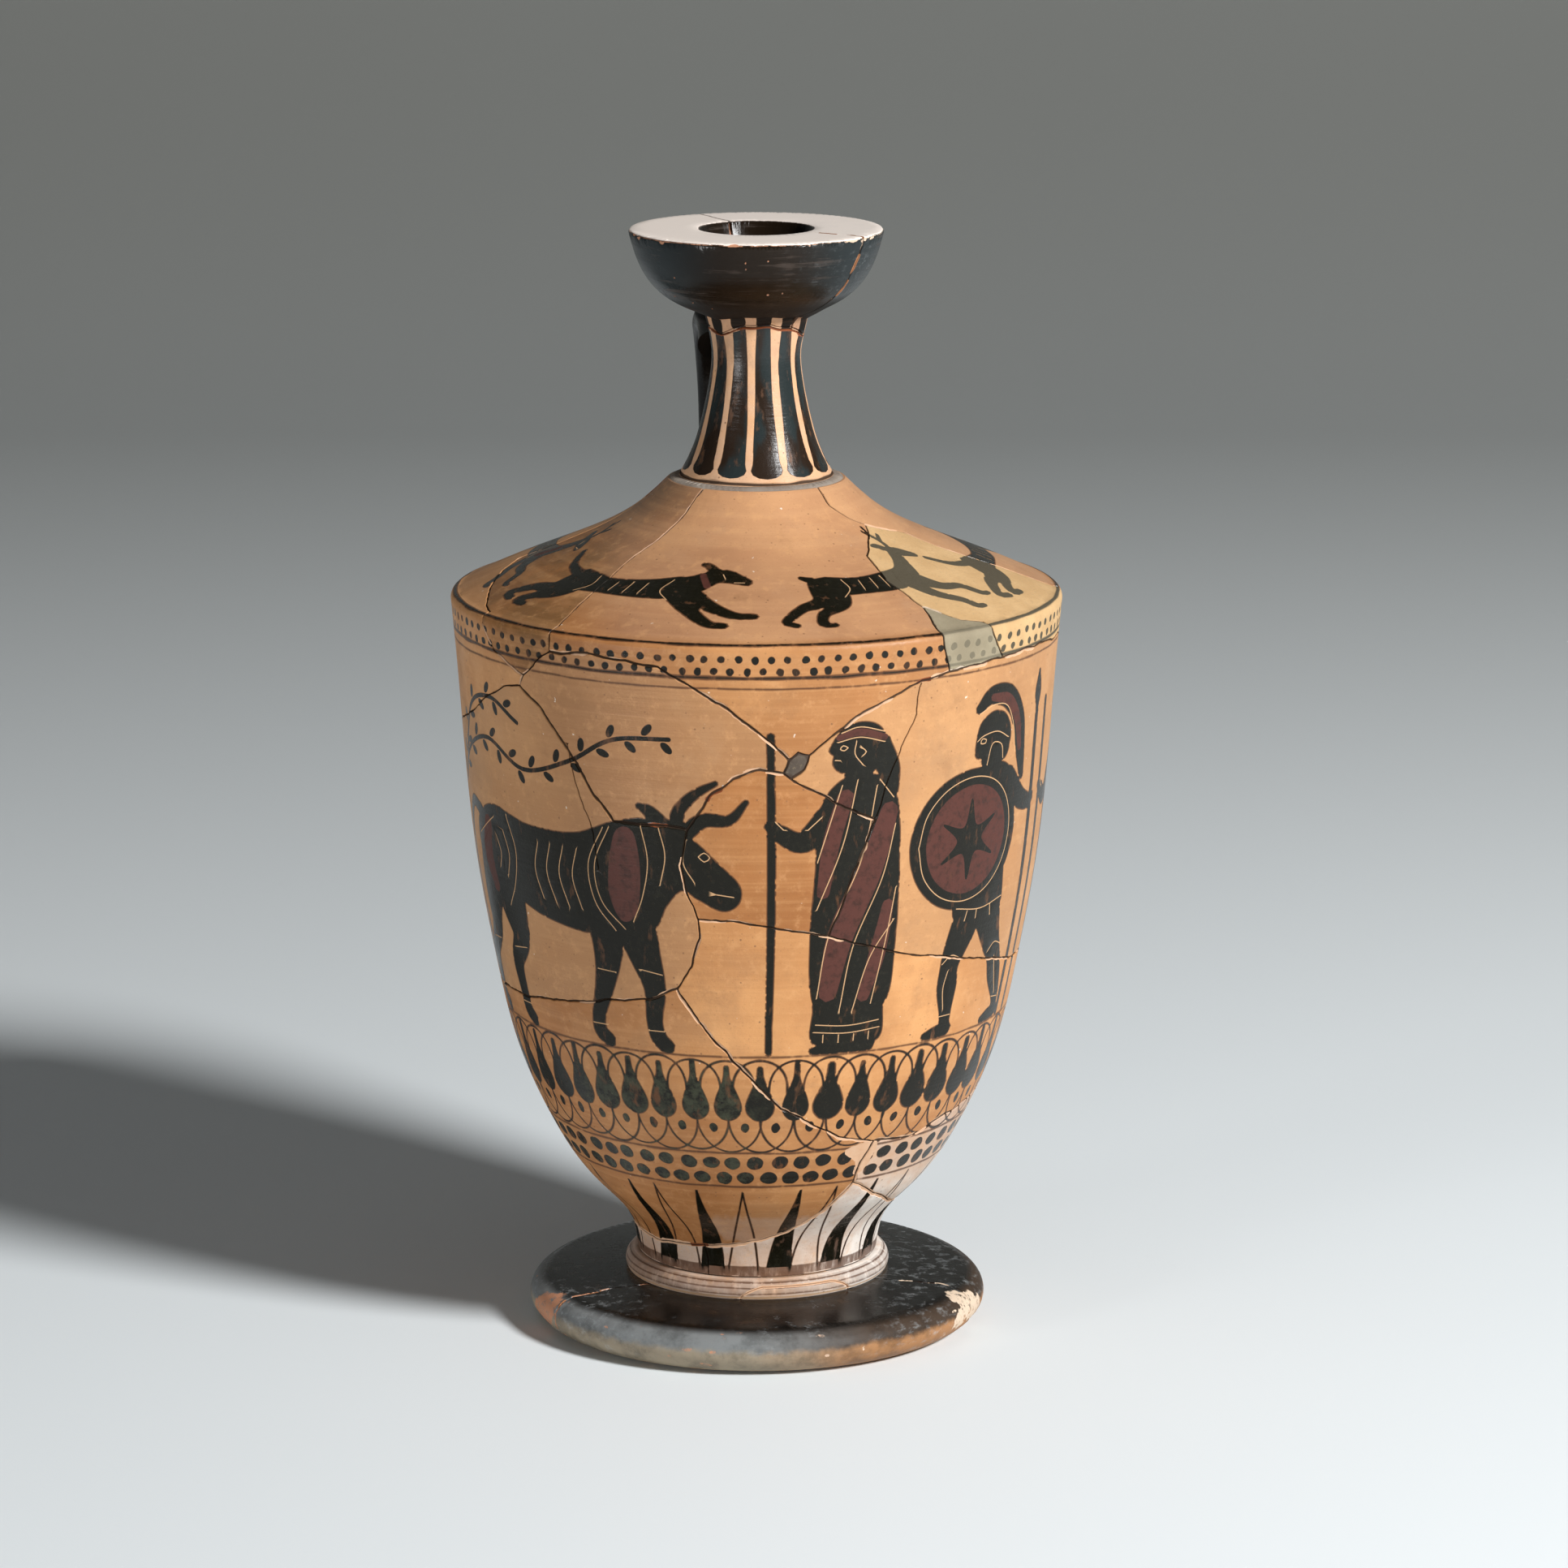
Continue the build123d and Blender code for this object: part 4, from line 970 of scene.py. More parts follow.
def build_body():
    rng = random.Random(41)
    skin = Skin(BODY)
    ornament(skin, rng)
    ground = wall_s(66.3)
    for parts, angle, mirror, scale in (
            (BULL, -40, 1, 1.2), (CLOAKED, 20, -1, 1.12), (WARRIOR, 52, -1, 1.1), (CLOAKED, 91, -1, 1.1),
            (WARRIOR, 129, -1, 1.08), (CLOAKED, -103, 1, 1.1), (WARRIOR, -137, 1, 1.08)):
        figure(skin, parts, angle, ground, FRIEZE_R, mirror, scale)
    branch(skin, -40, ground, ((-40, 46), (-33, 54), (-22, 58), (-10, 54), (2, 57.5), (12, 63), (24, 64)))
    branch(skin, -40, ground, ((-37, 50), (-30, 63), (-20, 66.5), (-11, 63)))
    floor = level_s(1.1)
    for parts, angle, scale in ((HOUND, -34, 1.4), (DEER, 33, 1.15), (HOUND, 93, 1.3), (DEER, -98, 1.1)):
        figure(skin, parts, angle, floor, SHOULDER_R, 1, scale)
    for name, points in BREAKS.items():
        course = broken_line(points, BODY, level_s)
        gap, share, chip = LOOK.get(name, (0.42, 0.2, 0.45))
        break_in(skin, course, gap, share, chip, rng)
        if name == "base":
            skin.draw("chip", course, 1.3, 0.85)
    bead_low, bead_top = BODY.find(BEAD, 10.2, 1) + 0.02, BODY.find(BEAD, 12.8, 1)
    chip_line = [(-7.0, bead_low)]
    for k in range(24):
        a = -7.0 + 51.0 * (k + 0.5) / 24
        rise = min(1.0, (a + 7.0) / 9.0, (44.0 - a) / 9.0)
        chip_line.append((a, bead_low + (bead_top - bead_low) * rise ** 0.6))
    chip_line.append((44.0, bead_low))
    skin.draw("gap", np.array(chip_line), 0.24, 0.45, is_break=True)
    skin.draw("chip", np.array(chip_line), 1.0, 0.85)
    under = [(-7.0, bead_low), (-7.0, bead_low - 8.0), (44.0, bead_low - 8.0), (44.0, bead_low)]
    skin.draw("gap", np.array(under), 0.3, 0.3, is_break=True)
    for hair in (((-38, 0.85), (-36, 0.79), (-33, 0.72), (-32, 0.67)),
                 ((32, 0.945), (31, 0.90), (27, 0.83), (23, 0.75)),
                 ((-24, 0.05), (-23, 0.02), (-23.5, 0.0))):
        course = broken_line(hair, BODY, level_s)
        skin.draw("gap", course, 0.34, 0.8)
    mend = blob([(-1.6, 3.0), (2.6, 3.4), (2.9, 0.2), (1.8, -3.6), (0.0, -4.6), (-0.4, -1.4), (-3.4, 1.6)])
    skin.paint("chip", skin.flat(mend, 29.2, level_s(0.214)), 0.4, 0.9)
    haze = disc(0, 0, 22.0, 6.0, 0.0, 24)
    skin.paint("pale", skin.flat(haze, 4.0, wall_s(25.5)), 4.0, 0.3)
    seeds = [(name, angle, level_s(level)) for name, angle, level in SEEDS]
    seeds.append(("base_fillet_chip", 18.0, (bead_low + bead_top) / 2))
    skin.solve(seeds)
    return skin


# Height of the break under the mouth over its mean level, by angle
NECK_BREAK = np.array(((-180, 0.3), (-110, -0.4), (-71, 0.25), (-46, -0.6), (-15, 1.3), (17, 1.35),
                       (45, 0.4), (75, -1.4), (110, -0.4), (180, 0.3)))


def neck_warp(angle, r, z):
    """The break under the mouth runs unevenly: what lies near it is moved up or down with it."""
    near = np.clip(1.0 - np.abs(z - MOUTH_Z) / 4.0, 0, 1)
    return r, z + near * (np.interp(angle, *NECK_BREAK.T) + 0.35 * wave(angle, 3.3, 9.0))


def tongues(skin, low, high, wide_low, wide_high, rng):
    """Black tongues up the neck, round at the foot."""
    for k in range(12):
        angle = 9.0 + 30.0 * k + rng.uniform(-1.0, 1.0)
        s = np.linspace(low, high, 22)
        t = (s - low) / (high - low)
        half = (wide_low + (wide_high - wide_low) * t ** 0.45) / 2
        half = half * (1 + 0.05 * np.sin(9 * t + k))

        def laid(grow, s=s, half=half, angle=angle):
            per = 1.0 / (PER_DEGREE * skin.line.r(s))
            a = np.stack([angle + (half + grow) * per, s], 1)
            b = np.stack([angle - (half + grow) * per, s], 1)
            foot = []
            for turn in (-60, -30, 0, 30, 60):
                reach = (half[0] + grow)
                foot.append((angle + math.sin(math.radians(turn)) * reach * per[0],
                             s[0] - math.cos(math.radians(turn)) * reach * 0.55))
            return np.concatenate([a, b[::-1], np.array(foot)])
        skin.paint("gloss", laid, 0.22, rng.uniform(0.86, 1.0))


def build_neck():
    rng = random.Random(17)
    skin = Skin(NECK, 1.0, 1.3)
    top = NECK.find(3, 199.99, 1)
    foot = NECK.find(3, 170.8, 1)
    tongues(skin, NECK.find(3, 173.6, 1), top + 0.6, 6.1, 2.35, rng)
    skin.ring("gap", top - 0.12, 0.45, 0.7, 0.05, 12.0)
    skin.ring("glue", top - 0.3, 0.8, 0.9, 0.12, 14.0)
    skin.ring("gap", foot + 0.3, 1.1, 1.0, 0.3, 13.0)
    for k in range(9):
        angle = rng.uniform(-TURN, TURN)
        course = [(angle + d, top - 0.3 + rng.uniform(-0.2, 0.2)) for d in (0, 5, 10, 15)]
        draw_stroke(skin, "glue" if k % 2 else "chip", course,
                    [0.2, rng.uniform(0.4, 1.0), rng.uniform(0.3, 0.9), 0.2], 0.2, 1.0)
    for k in range(7):
        angle = rng.uniform(-TURN, TURN)
        course = [(angle + d, foot + 0.5 + rng.uniform(-0.1, 0.3)) for d in (0, 4, 8)]
        draw_stroke(skin, "chip", course, [0.2, rng.uniform(0.4, 0.9), 0.2], 0.2, 1.0)
    skin.solve([("neck", 0, 5)])
    return whole_piece(skin, 0, "neck_painted", neck_warp, tint={"seed": 0.8, "pale": 0.4})


def build_seat():
    skin = Skin(SEAT, 0.7, 1.2)
    skin.solve([("seat", 0, 5)])
    return whole_piece(skin, 0, "neck_seat_plaster", tint={"seed": 0.3})


def build_mouth():
    rng = random.Random(29)
    skin = Skin(MOUTH, 1.0, 1.5)
    rim = MOUTH.find(4, 218.75, 1)
    hole = MOUTH.find(6, 218.95, 1)
    bowl = MOUTH.find(3, 202.6, 1)
    throat = MOUTH.find(1, 6.5, 0)
    skin.band("gloss", bowl, rim, 0.35, 1.0, 0.22, 21.0)
    skin.band("gloss", hole, MOUTH.length, 0.4, 1.0, 0.12, 22.0)
    skin.band("gloss", 0.0, throat, 0.4, 1.0, 0.0, 22.0)
    tongues(skin, MOUTH.find(2, 200.02, 1), bowl + 0.3, 2.4, 3.0, rng)
    skin.ring("gap", MOUTH.find(2, 200.1, 1), 0.5, 0.8, 0.1, 12.0)
    skin.ring("chip", rim + 0.1, 0.5, 0.55, 0.2, 23.0)
    for k in range(16):
        angle = rng.uniform(-TURN, TURN)
        s = rim + rng.uniform(-0.3, 0.1)
        span = rng.uniform(1.5, 6)
        course = [(angle + span * d, s + rng.uniform(-0.15, 0.15)) for d in (0, 0.5, 1)]
        draw_stroke(skin, "chip", course, [0.1, rng.uniform(0.2, 0.55), 0.1], 0.25, rng.uniform(0.5, 0.9))
    for k in range(46):
        angle = rng.uniform(-TURN, TURN)
        s = rng.uniform(bowl, rim)
        dot = disc(0, 0, rng.uniform(0.15, 0.45), rng.uniform(0.15, 0.4), 0, 7, 0.2, rng)
        skin.paint("chip", skin.flat(dot, angle, s), 0.15, 0.8)
    for angle, lean in ((57.0, -9.0), (-152.0, 6.0)):
        points = []
        for s in np.linspace(0, MOUTH.length, 70):
            across = lean * max(0.0, min(1.0, (rim - s) / (rim - bowl))) if s < rim else 0.0
            points.append(wander(angle + across, s, MOUTH, 4.0, 0.35))
        course = np.array(points)
        course[0, 1], course[-1, 1] = 0.0, MOUTH.length
        course[-1, 0] = course[0, 0]
        break_in(skin, course, 0.42, 0.45, 0.5, rng, 0.25)
    skin.solve([("front", 0, rim), ("back", 130, rim), ("back", -170, rim), ("front", -100, rim)])
    names = skin.label[1]
    out = {}
    for index, name in enumerate(names):
        tint = {"seed": 0.2 + 0.3 * index, "pale": 0.4}
        out[f"mouth_{name}_sherd"] = whole_piece(skin, index, f"mouth_{name}_gloss", neck_warp, True, tint)
    return out


FOOT_BREAK = ((-62, 1.30), (-60, 0.73), (0, 0.26), (72, 0.84), (67, 1.30))


def foot_break_angles(radius):
    """Where the foot's break line crosses a radius: left and right angle."""
    points = []
    for angle, share in FOOT_BREAK:
        turn = angle * PER_DEGREE
        points.append((FOOT_R * share * math.sin(turn), -FOOT_R * share * math.cos(turn)))
    found = []
    for (x0, y0), (x1, y1) in zip(points, points[1:]):
        for t in np.linspace(0, 1, 400):
            x, y = x0 + (x1 - x0) * t, y0 + (y1 - y0) * t
            found.append((math.hypot(x, y), math.degrees(math.atan2(x, -y))))
    found = np.array(found)
    low = int(np.argmin(found[:, 0]))
    left, right = found[:low + 1][::-1], found[low:]
    return (float(np.interp(radius, left[:, 0], left[:, 1])),
            float(np.interp(radius, right[:, 0], right[:, 1])), float(found[low, 0]))


def build_foot():
    rng = random.Random(31)
    skin = Skin(FOOT, 1.3, 1.9)
    edge = FOOT.find(2, 1.2, 1)
    skin.band("gloss", edge, FOOT.length, 0.6, 1.0, 0.35, 31.0)
    nearest = foot_break_angles(20.0)[2] + 0.05
    spans = np.array([s for s in np.linspace(0, FOOT.length, 260) if float(FOOT.r(s)) > nearest])
    courses = []
    for side in (0, 1):
        course = [wander(foot_break_angles(float(FOOT.r(s)))[side], s, FOOT, 2.0, 0.4) for s in spans]
        courses.append(course)
    loop = courses[0] + courses[1][::-1] + courses[0][:1]
    break_in(skin, np.array(loop), 0.45, 0.3, 0.6, rng, 0.18)
    for angle, z, wide, high in ((-70, 4.6, 11, 7), (-66, 7.6, 5, 4), (69, 6.4, 8, 5), (74, 4.0, 7, 5),
                                 (63, 4.6, 5, 3), (66, 8.4, 4, 3)):
        patch = disc(0, 0, wide, high, 0.2, 17, 0.22, rng)
        skin.paint("chip", skin.flat(patch, angle, FOOT.find(2, z, 1)), 1.2, 0.75)
    for k in range(46):
        angle = rng.uniform(-TURN, TURN)
        s = rng.uniform(edge + 1, FOOT.find(2, 8.9, 1))
        dot = disc(0, 0, rng.uniform(0.3, 2.4), rng.uniform(0.25, 0.7), rng.uniform(-0.3, 0.3), 9, 0.3, rng)
        skin.paint("chip", skin.flat(dot, angle, s), 0.4, rng.uniform(0.3, 0.6))
    middle = FOOT.find(2, 5.0, 1)
    skin.solve([("front", 0, middle), ("back", 170, middle), ("back", -170, middle)])
    out = {}
    for index, name in enumerate(skin.label[1]):
        out[f"foot_{name}_sherd"] = whole_piece(skin, index, f"foot_{name}_gloss", None, True,
                                                {"seed": 0.5 + 0.25 * index})
    return out


def build_handle():
    """The strap handle: a pulled ribbon of clay, thicker at both roots, with a shallow ridge."""
    route = spline(((7.6, 195.2), (12.0, 197.3), (20.5, 198.7), (28.6, 194.0), (33.7, 182.0), (36.2, 167.0),
                    (37.0, 156.6)), 0.7)
    tangent = np.gradient(route, axis=0)
    tangent /= np.hypot(*tangent.T)[:, None]
    count = 36
    length = np.concatenate([[0.0], np.cumsum(np.hypot(*np.diff(route, axis=0).T))])
    verts, rows = [], len(route)
    for k in range(rows):
        t = length[k] / length[-1]
        root = max(0.0, 1 - t / 0.12) ** 2 + max(0.0, (t - 0.9) / 0.1) ** 2
        narrow = min(1.0, max(0.0, (t - 0.25) / 0.4))
        wide = 17.8 - 1.6 * narrow * narrow * (3.0 - 2.0 * narrow) + 1.2 * root
        aside = float(np.interp(t, (0.0, 0.3, 1.0), (-2.0, -4.0, -3.4)))
        thick = 6.4 + 1.2 * root
        normal = np.array([tangent[k][1], -tangent[k][0]])
        for j in range(count):
            a = 2 * math.pi * j / count
            across = math.copysign(abs(math.cos(a)) ** 0.55, math.cos(a)) * wide / 2
            off = math.copysign(abs(math.sin(a)) ** 0.75, math.sin(a)) * thick / 2
            if off < 0:
                off -= 0.45 * math.exp(-(across / 2.2) ** 2)
            rz = route[k] + normal * off
            uneven = 0.12 * noise.noise((across * 0.2, length[k] * 0.12, off * 0.3))
            verts.append((aside - across, rz[0] + uneven, rz[1]))
    faces, uv = [], []
    for k in range(rows - 1):
        for j in range(count):
            a, b = k * count + j, k * count + (j + 1) % count
            quad = (a, b, b + count, a + count)
            u0, u1 = j / count * 0.98 + 0.01, (j + 1) / count * 0.98 + 0.01
            v0, v1 = (0.05 + 0.9 * length[i] / length[-1] for i in (k, k + 1))
            faces.append(quad)
            uv.extend([(u0, v0), (u1, v0), (u1, v1), (u0, v1)])
    values = {c: np.zeros(len(verts)) for c in CHANNELS}
    values["gloss"] += 1.0
    values["seed"] += 0.4
    return finish_mesh("handle_gloss", verts, np.array(faces), uv, values, True)


# Materials
class Nodes:
    """A material's nodes, added with few words."""

    def __init__(self, name):
        self.material = bpy.data.materials.new(name)
        self.material.use_nodes = True
        self.tree = self.material.node_tree
        self.tree.nodes.clear()
        self.out = self.tree.nodes.new("ShaderNodeOutputMaterial")
        self.shader = self.tree.nodes.new("ShaderNodeBsdfPrincipled")
        self.tree.links.new(self.shader.outputs[0], self.out.inputs[0])
        place = self.tree.nodes.new("ShaderNodeTexCoord")
        self.mm = self.vector("MULTIPLY", place.outputs["Object"], (1000.0, 1000.0, 1000.0))
        split = self.tree.nodes.new("ShaderNodeSeparateXYZ")
        self.put(split.inputs[0], self.mm)
        self.x, self.y, self.z = split.outputs

    def put(self, socket, value):
        if isinstance(value, bpy.types.NodeSocket):
            self.tree.links.new(value, socket)
        else:
            socket.default_value = value

    def value(self, name):
        node = self.tree.nodes.new("ShaderNodeAttribute")
        node.attribute_name = name
        return node.outputs["Fac"]

    def set(self, name, value):
        """A socket of the shader: linked, or a plain value on the socket itself."""
        self.put(self.shader.inputs[name], value)

    def math(self, operation, a, b=0.0, clamp=False):
        node = self.tree.nodes.new("ShaderNodeMath")
        node.operation = operation
        node.use_clamp = clamp
        self.put(node.inputs[0], a)
        self.put(node.inputs[1], b)
        return node.outputs[0]

    def gather(self, operation, values):
        out = values[0]
        for value in values[1:]:
            out = self.math(operation, out, value)
        return out

    def times(self, *values):
        return self.gather("MULTIPLY", values)

    def most(self, *values):
        return self.gather("MAXIMUM", values)

    def vector(self, operation, a, b):
        node = self.tree.nodes.new("ShaderNodeVectorMath")
        node.operation = operation
        self.put(node.inputs[0], a)
        self.put(node.inputs[1], b)
        return node.outputs[0]

    def noise(self, scale, detail=4.0, rough=0.55, stretch=None):
        node = self.tree.nodes.new("ShaderNodeTexNoise")
        self.put(node.inputs["Vector"], self.vector("MULTIPLY", self.mm, stretch) if stretch else self.mm)
        node.inputs["Scale"].default_value = scale
        node.inputs["Detail"].default_value = detail
        node.inputs["Roughness"].default_value = rough
        return node.outputs["Fac"]

    def cells(self, scale):
        node = self.tree.nodes.new("ShaderNodeTexVoronoi")
        self.put(node.inputs["Vector"], self.mm)
        node.inputs["Scale"].default_value = scale
        return node.outputs["Distance"]

    def step(self, value, low, high, to_low=0.0, to_high=1.0):
        node = self.tree.nodes.new("ShaderNodeMapRange")
        node.interpolation_type = "SMOOTHSTEP"
        self.put(node.inputs["Value"], value)
        node.inputs["From Min"].default_value = low
        node.inputs["From Max"].default_value = high
        node.inputs["To Min"].default_value = to_low
        node.inputs["To Max"].default_value = to_high
        return node.outputs["Result"]

    def mix(self, share, a, b):
        node = self.tree.nodes.new("ShaderNodeMix")
        node.data_type = "RGBA"
        self.put(node.inputs["Factor"], share)
        self.put(node.inputs[6], a)
        self.put(node.inputs[7], b)
        return node.outputs[2]

    def blend(self, share, a, b):
        node = self.tree.nodes.new("ShaderNodeMix")
        self.put(node.inputs["Factor"], share)
        self.put(node.inputs[2], a)
        self.put(node.inputs[3], b)
        return node.outputs[0]

    def bump(self, height, strength, distance, after=None):
        node = self.tree.nodes.new("ShaderNodeBump")
        node.inputs["Strength"].default_value = strength
        node.inputs["Distance"].default_value = distance
        self.put(node.inputs["Height"], height)
        if after:
            self.put(node.inputs["Normal"], after)
        return node.outputs[0]


def rgb(r, g, b):
    return (r, g, b, 1.0)


def clay_colour(n):
    """Fired clay: orange to tan in soft clouds, faint turning lines, fine grit."""
    seed = n.value("seed")
    cloud = n.noise(0.03, 3.0, 0.5)
    patch = n.noise(0.11, 5.0, 0.6)
    turned = n.noise(1.0, 3.0, 0.6, stretch=(0.015, 0.015, 0.9))
    tone = n.math("ADD", n.times(n.math("SUBTRACT", cloud, 0.5), 1.1), seed)
    colour = n.mix(n.step(tone, 0.0, 0.95), rgb(0.30, 0.115, 0.034), rgb(0.71, 0.36, 0.145))
    colour = n.mix(n.step(tone, 0.0, -0.4), colour, rgb(0.20, 0.094, 0.032))
    colour = n.mix(n.step(patch, 0.42, 0.72, 0.0, 0.5), colour, rgb(0.43, 0.175, 0.056))
    colour = n.mix(n.step(turned, 0.4, 0.75, 0.0, 0.25), colour, rgb(0.64, 0.335, 0.14))
    smoke = n.step(n.noise(0.055, 6.0, 0.65), 0.5, 0.72, 0.0, 0.34)
    grey = n.math("ADD", n.value("grey"), smoke, clamp=True)
    colour = n.mix(grey, colour, rgb(0.41, 0.235, 0.118))
    pale = n.math("MULTIPLY", n.value("pale"), n.step(n.noise(0.16, 5.0, 0.65), 0.2, 0.7, 0.45, 1.1),
                  clamp=True)
    # Painted light: above the ridge the shoulder's front and right side are made paler, where the lamps fall
    # on it; the pale patches merged in with it are the clay's own.
    shoulder = n.times(n.step(n.z, 147.6, 149.4, 0.0, 0.13), n.step(n.x, -36.0, -22.0))
    colour = n.mix(n.most(pale, shoulder), colour, rgb(0.62, 0.49, 0.40))
    right = n.times(n.step(n.x, 4.0, 24.0), n.step(n.z, 40.0, 30.0))
    colour = n.mix(n.times(pale, right), colour, rgb(0.88, 0.835, 0.775))
    grit = n.step(n.noise(2.6, 2.0, 0.5), 0.62, 0.75, 0.0, 0.4)
    colour = n.mix(grit, colour, rgb(0.28, 0.13, 0.06))
    stain = n.step(n.noise(0.08, 7.0, 0.7), 0.54, 0.72, 0.0, 0.35)
    colour = n.mix(stain, colour, rgb(0.26, 0.125, 0.055))
    colour = n.mix(n.step(n.noise(0.4, 6.0, 0.7), 0.5, 0.7, 0.0, 0.3), colour, rgb(0.68, 0.37, 0.165))
    lime = n.step(n.noise(0.75, 2.0, 0.4), 0.76, 0.80, 0.0, 0.8)
    colour = n.mix(lime, colour, rgb(0.74, 0.66, 0.56))
    pits = n.times(n.step(n.cells(0.55), 0.05, 0.16, 0.75, 0.0), n.step(n.noise(0.3, 2.0), 0.45, 0.6))
    return n.mix(pits, colour, rgb(0.17, 0.08, 0.04)), turned, patch


def painted_clay():
    """Clay under black gloss, dilute brown, added red, scratches, chips and old glue."""
    n = Nodes("painted_clay")
    clay, turned, patch = clay_colour(n)
    brush = n.noise(0.5, 4.0, 0.6, stretch=(1.0, 1.0, 0.35))
    gloss = n.value("gloss")
    thick = n.times(gloss, n.step(brush, 0.24, 0.53, 0.60, 1.0))
    wash = n.step(thick, 0.12, 0.5)
    full = n.step(thick, 0.48, 0.86)
    black = n.mix(n.step(n.noise(0.9, 5.0, 0.65), 0.5, 0.72, 0.0, 0.55), rgb(0.007, 0.006, 0.003),
                  rgb(0.018, 0.016, 0.009))
    # Painted reflection: on the front-left, in the band of buds and large dots, the black gloss turns a
    # greenish grey as if mirroring light.
    painted_reflection = n.times(n.step(n.x, -40.0, -26.0), n.step(n.x, 4.0, -6.0), n.step(n.z, 68.0, 63.0),
                    n.step(n.z, 34.0, 38.0), n.step(n.noise(0.45, 6.0, 0.7), 0.38, 0.62))
    black = n.mix(painted_reflection, black, rgb(0.042, 0.045, 0.026))
    on_neck = n.step(n.z, 169.5, 171.0)
    slate = n.mix(n.step(n.noise(0.16, 3.0, 0.5, stretch=(1.0, 1.0, 0.35)), 0.44, 0.58),
                  rgb(0.022, 0.030, 0.031), rgb(0.024, 0.014, 0.009))
    black = n.mix(n.times(on_neck, 0.85), black, slate)
    colour = n.mix(n.times(wash, 0.9), clay, rgb(0.085, 0.032, 0.013))
    colour = n.mix(full, colour, black)
    over = n.step(n.value("lime"), 0.3, 0.7)
    red = n.times(n.value("red"), n.math("SUBTRACT", 1.0, over),
                  n.step(n.noise(0.7, 5.0, 0.65), 0.3, 0.55, 0.45, 0.95))
    colour = n.mix(red, colour, rgb(0.088, 0.028, 0.020))
    worn = n.step(n.noise(1.5, 6.0, 0.7), 0.70, 0.78, 0.0, 0.85)
    colour = n.mix(worn, colour, rgb(0.40, 0.21, 0.10))
    cut = n.step(n.value("cut"), 0.25, 0.7)
    colour = n.mix(n.times(cut, 0.85), colour, rgb(0.62, 0.37, 0.19))
    chip = n.step(n.times(n.value("chip"), n.step(n.noise(1.1, 4.0, 0.6), 0.2, 0.6, 0.5, 1.2)), 0.25, 0.5)
    colour = n.mix(chip, colour, n.mix(n.noise(0.4), rgb(0.56, 0.30, 0.16), rgb(0.68, 0.47, 0.32)))
    glue = n.step(n.value("glue"), 0.25, 0.6)
    colour = n.mix(glue, colour, rgb(0.20, 0.055, 0.018))
    gap = n.step(n.value("gap"), 0.2, 0.55)
    colour = n.mix(n.times(gap, 0.92), colour, rgb(0.035, 0.020, 0.012))
    n.set("Base Color", colour)
    matte = n.most(chip, gap, worn, cut)
    shine = n.blend(on_neck, n.step(brush, 0.3, 0.7, 0.28, 0.20), 0.26)
    rough = n.blend(full, n.step(patch, 0.3, 0.7, 0.38, 0.52), shine)
    rough = n.blend(red, rough, 0.5)
    n.set("Roughness", n.blend(matte, rough, 0.85))
    n.set("Specular IOR Level", 0.24)
    skin = n.bump(n.noise(1.8, 5.0, 0.6), 0.12, 0.0004)
    skin = n.bump(turned, 0.10, 0.0008, skin)
    skin = n.bump(full, 0.25, 0.00006, skin)
    n.set("Normal", skin)
    return n.material


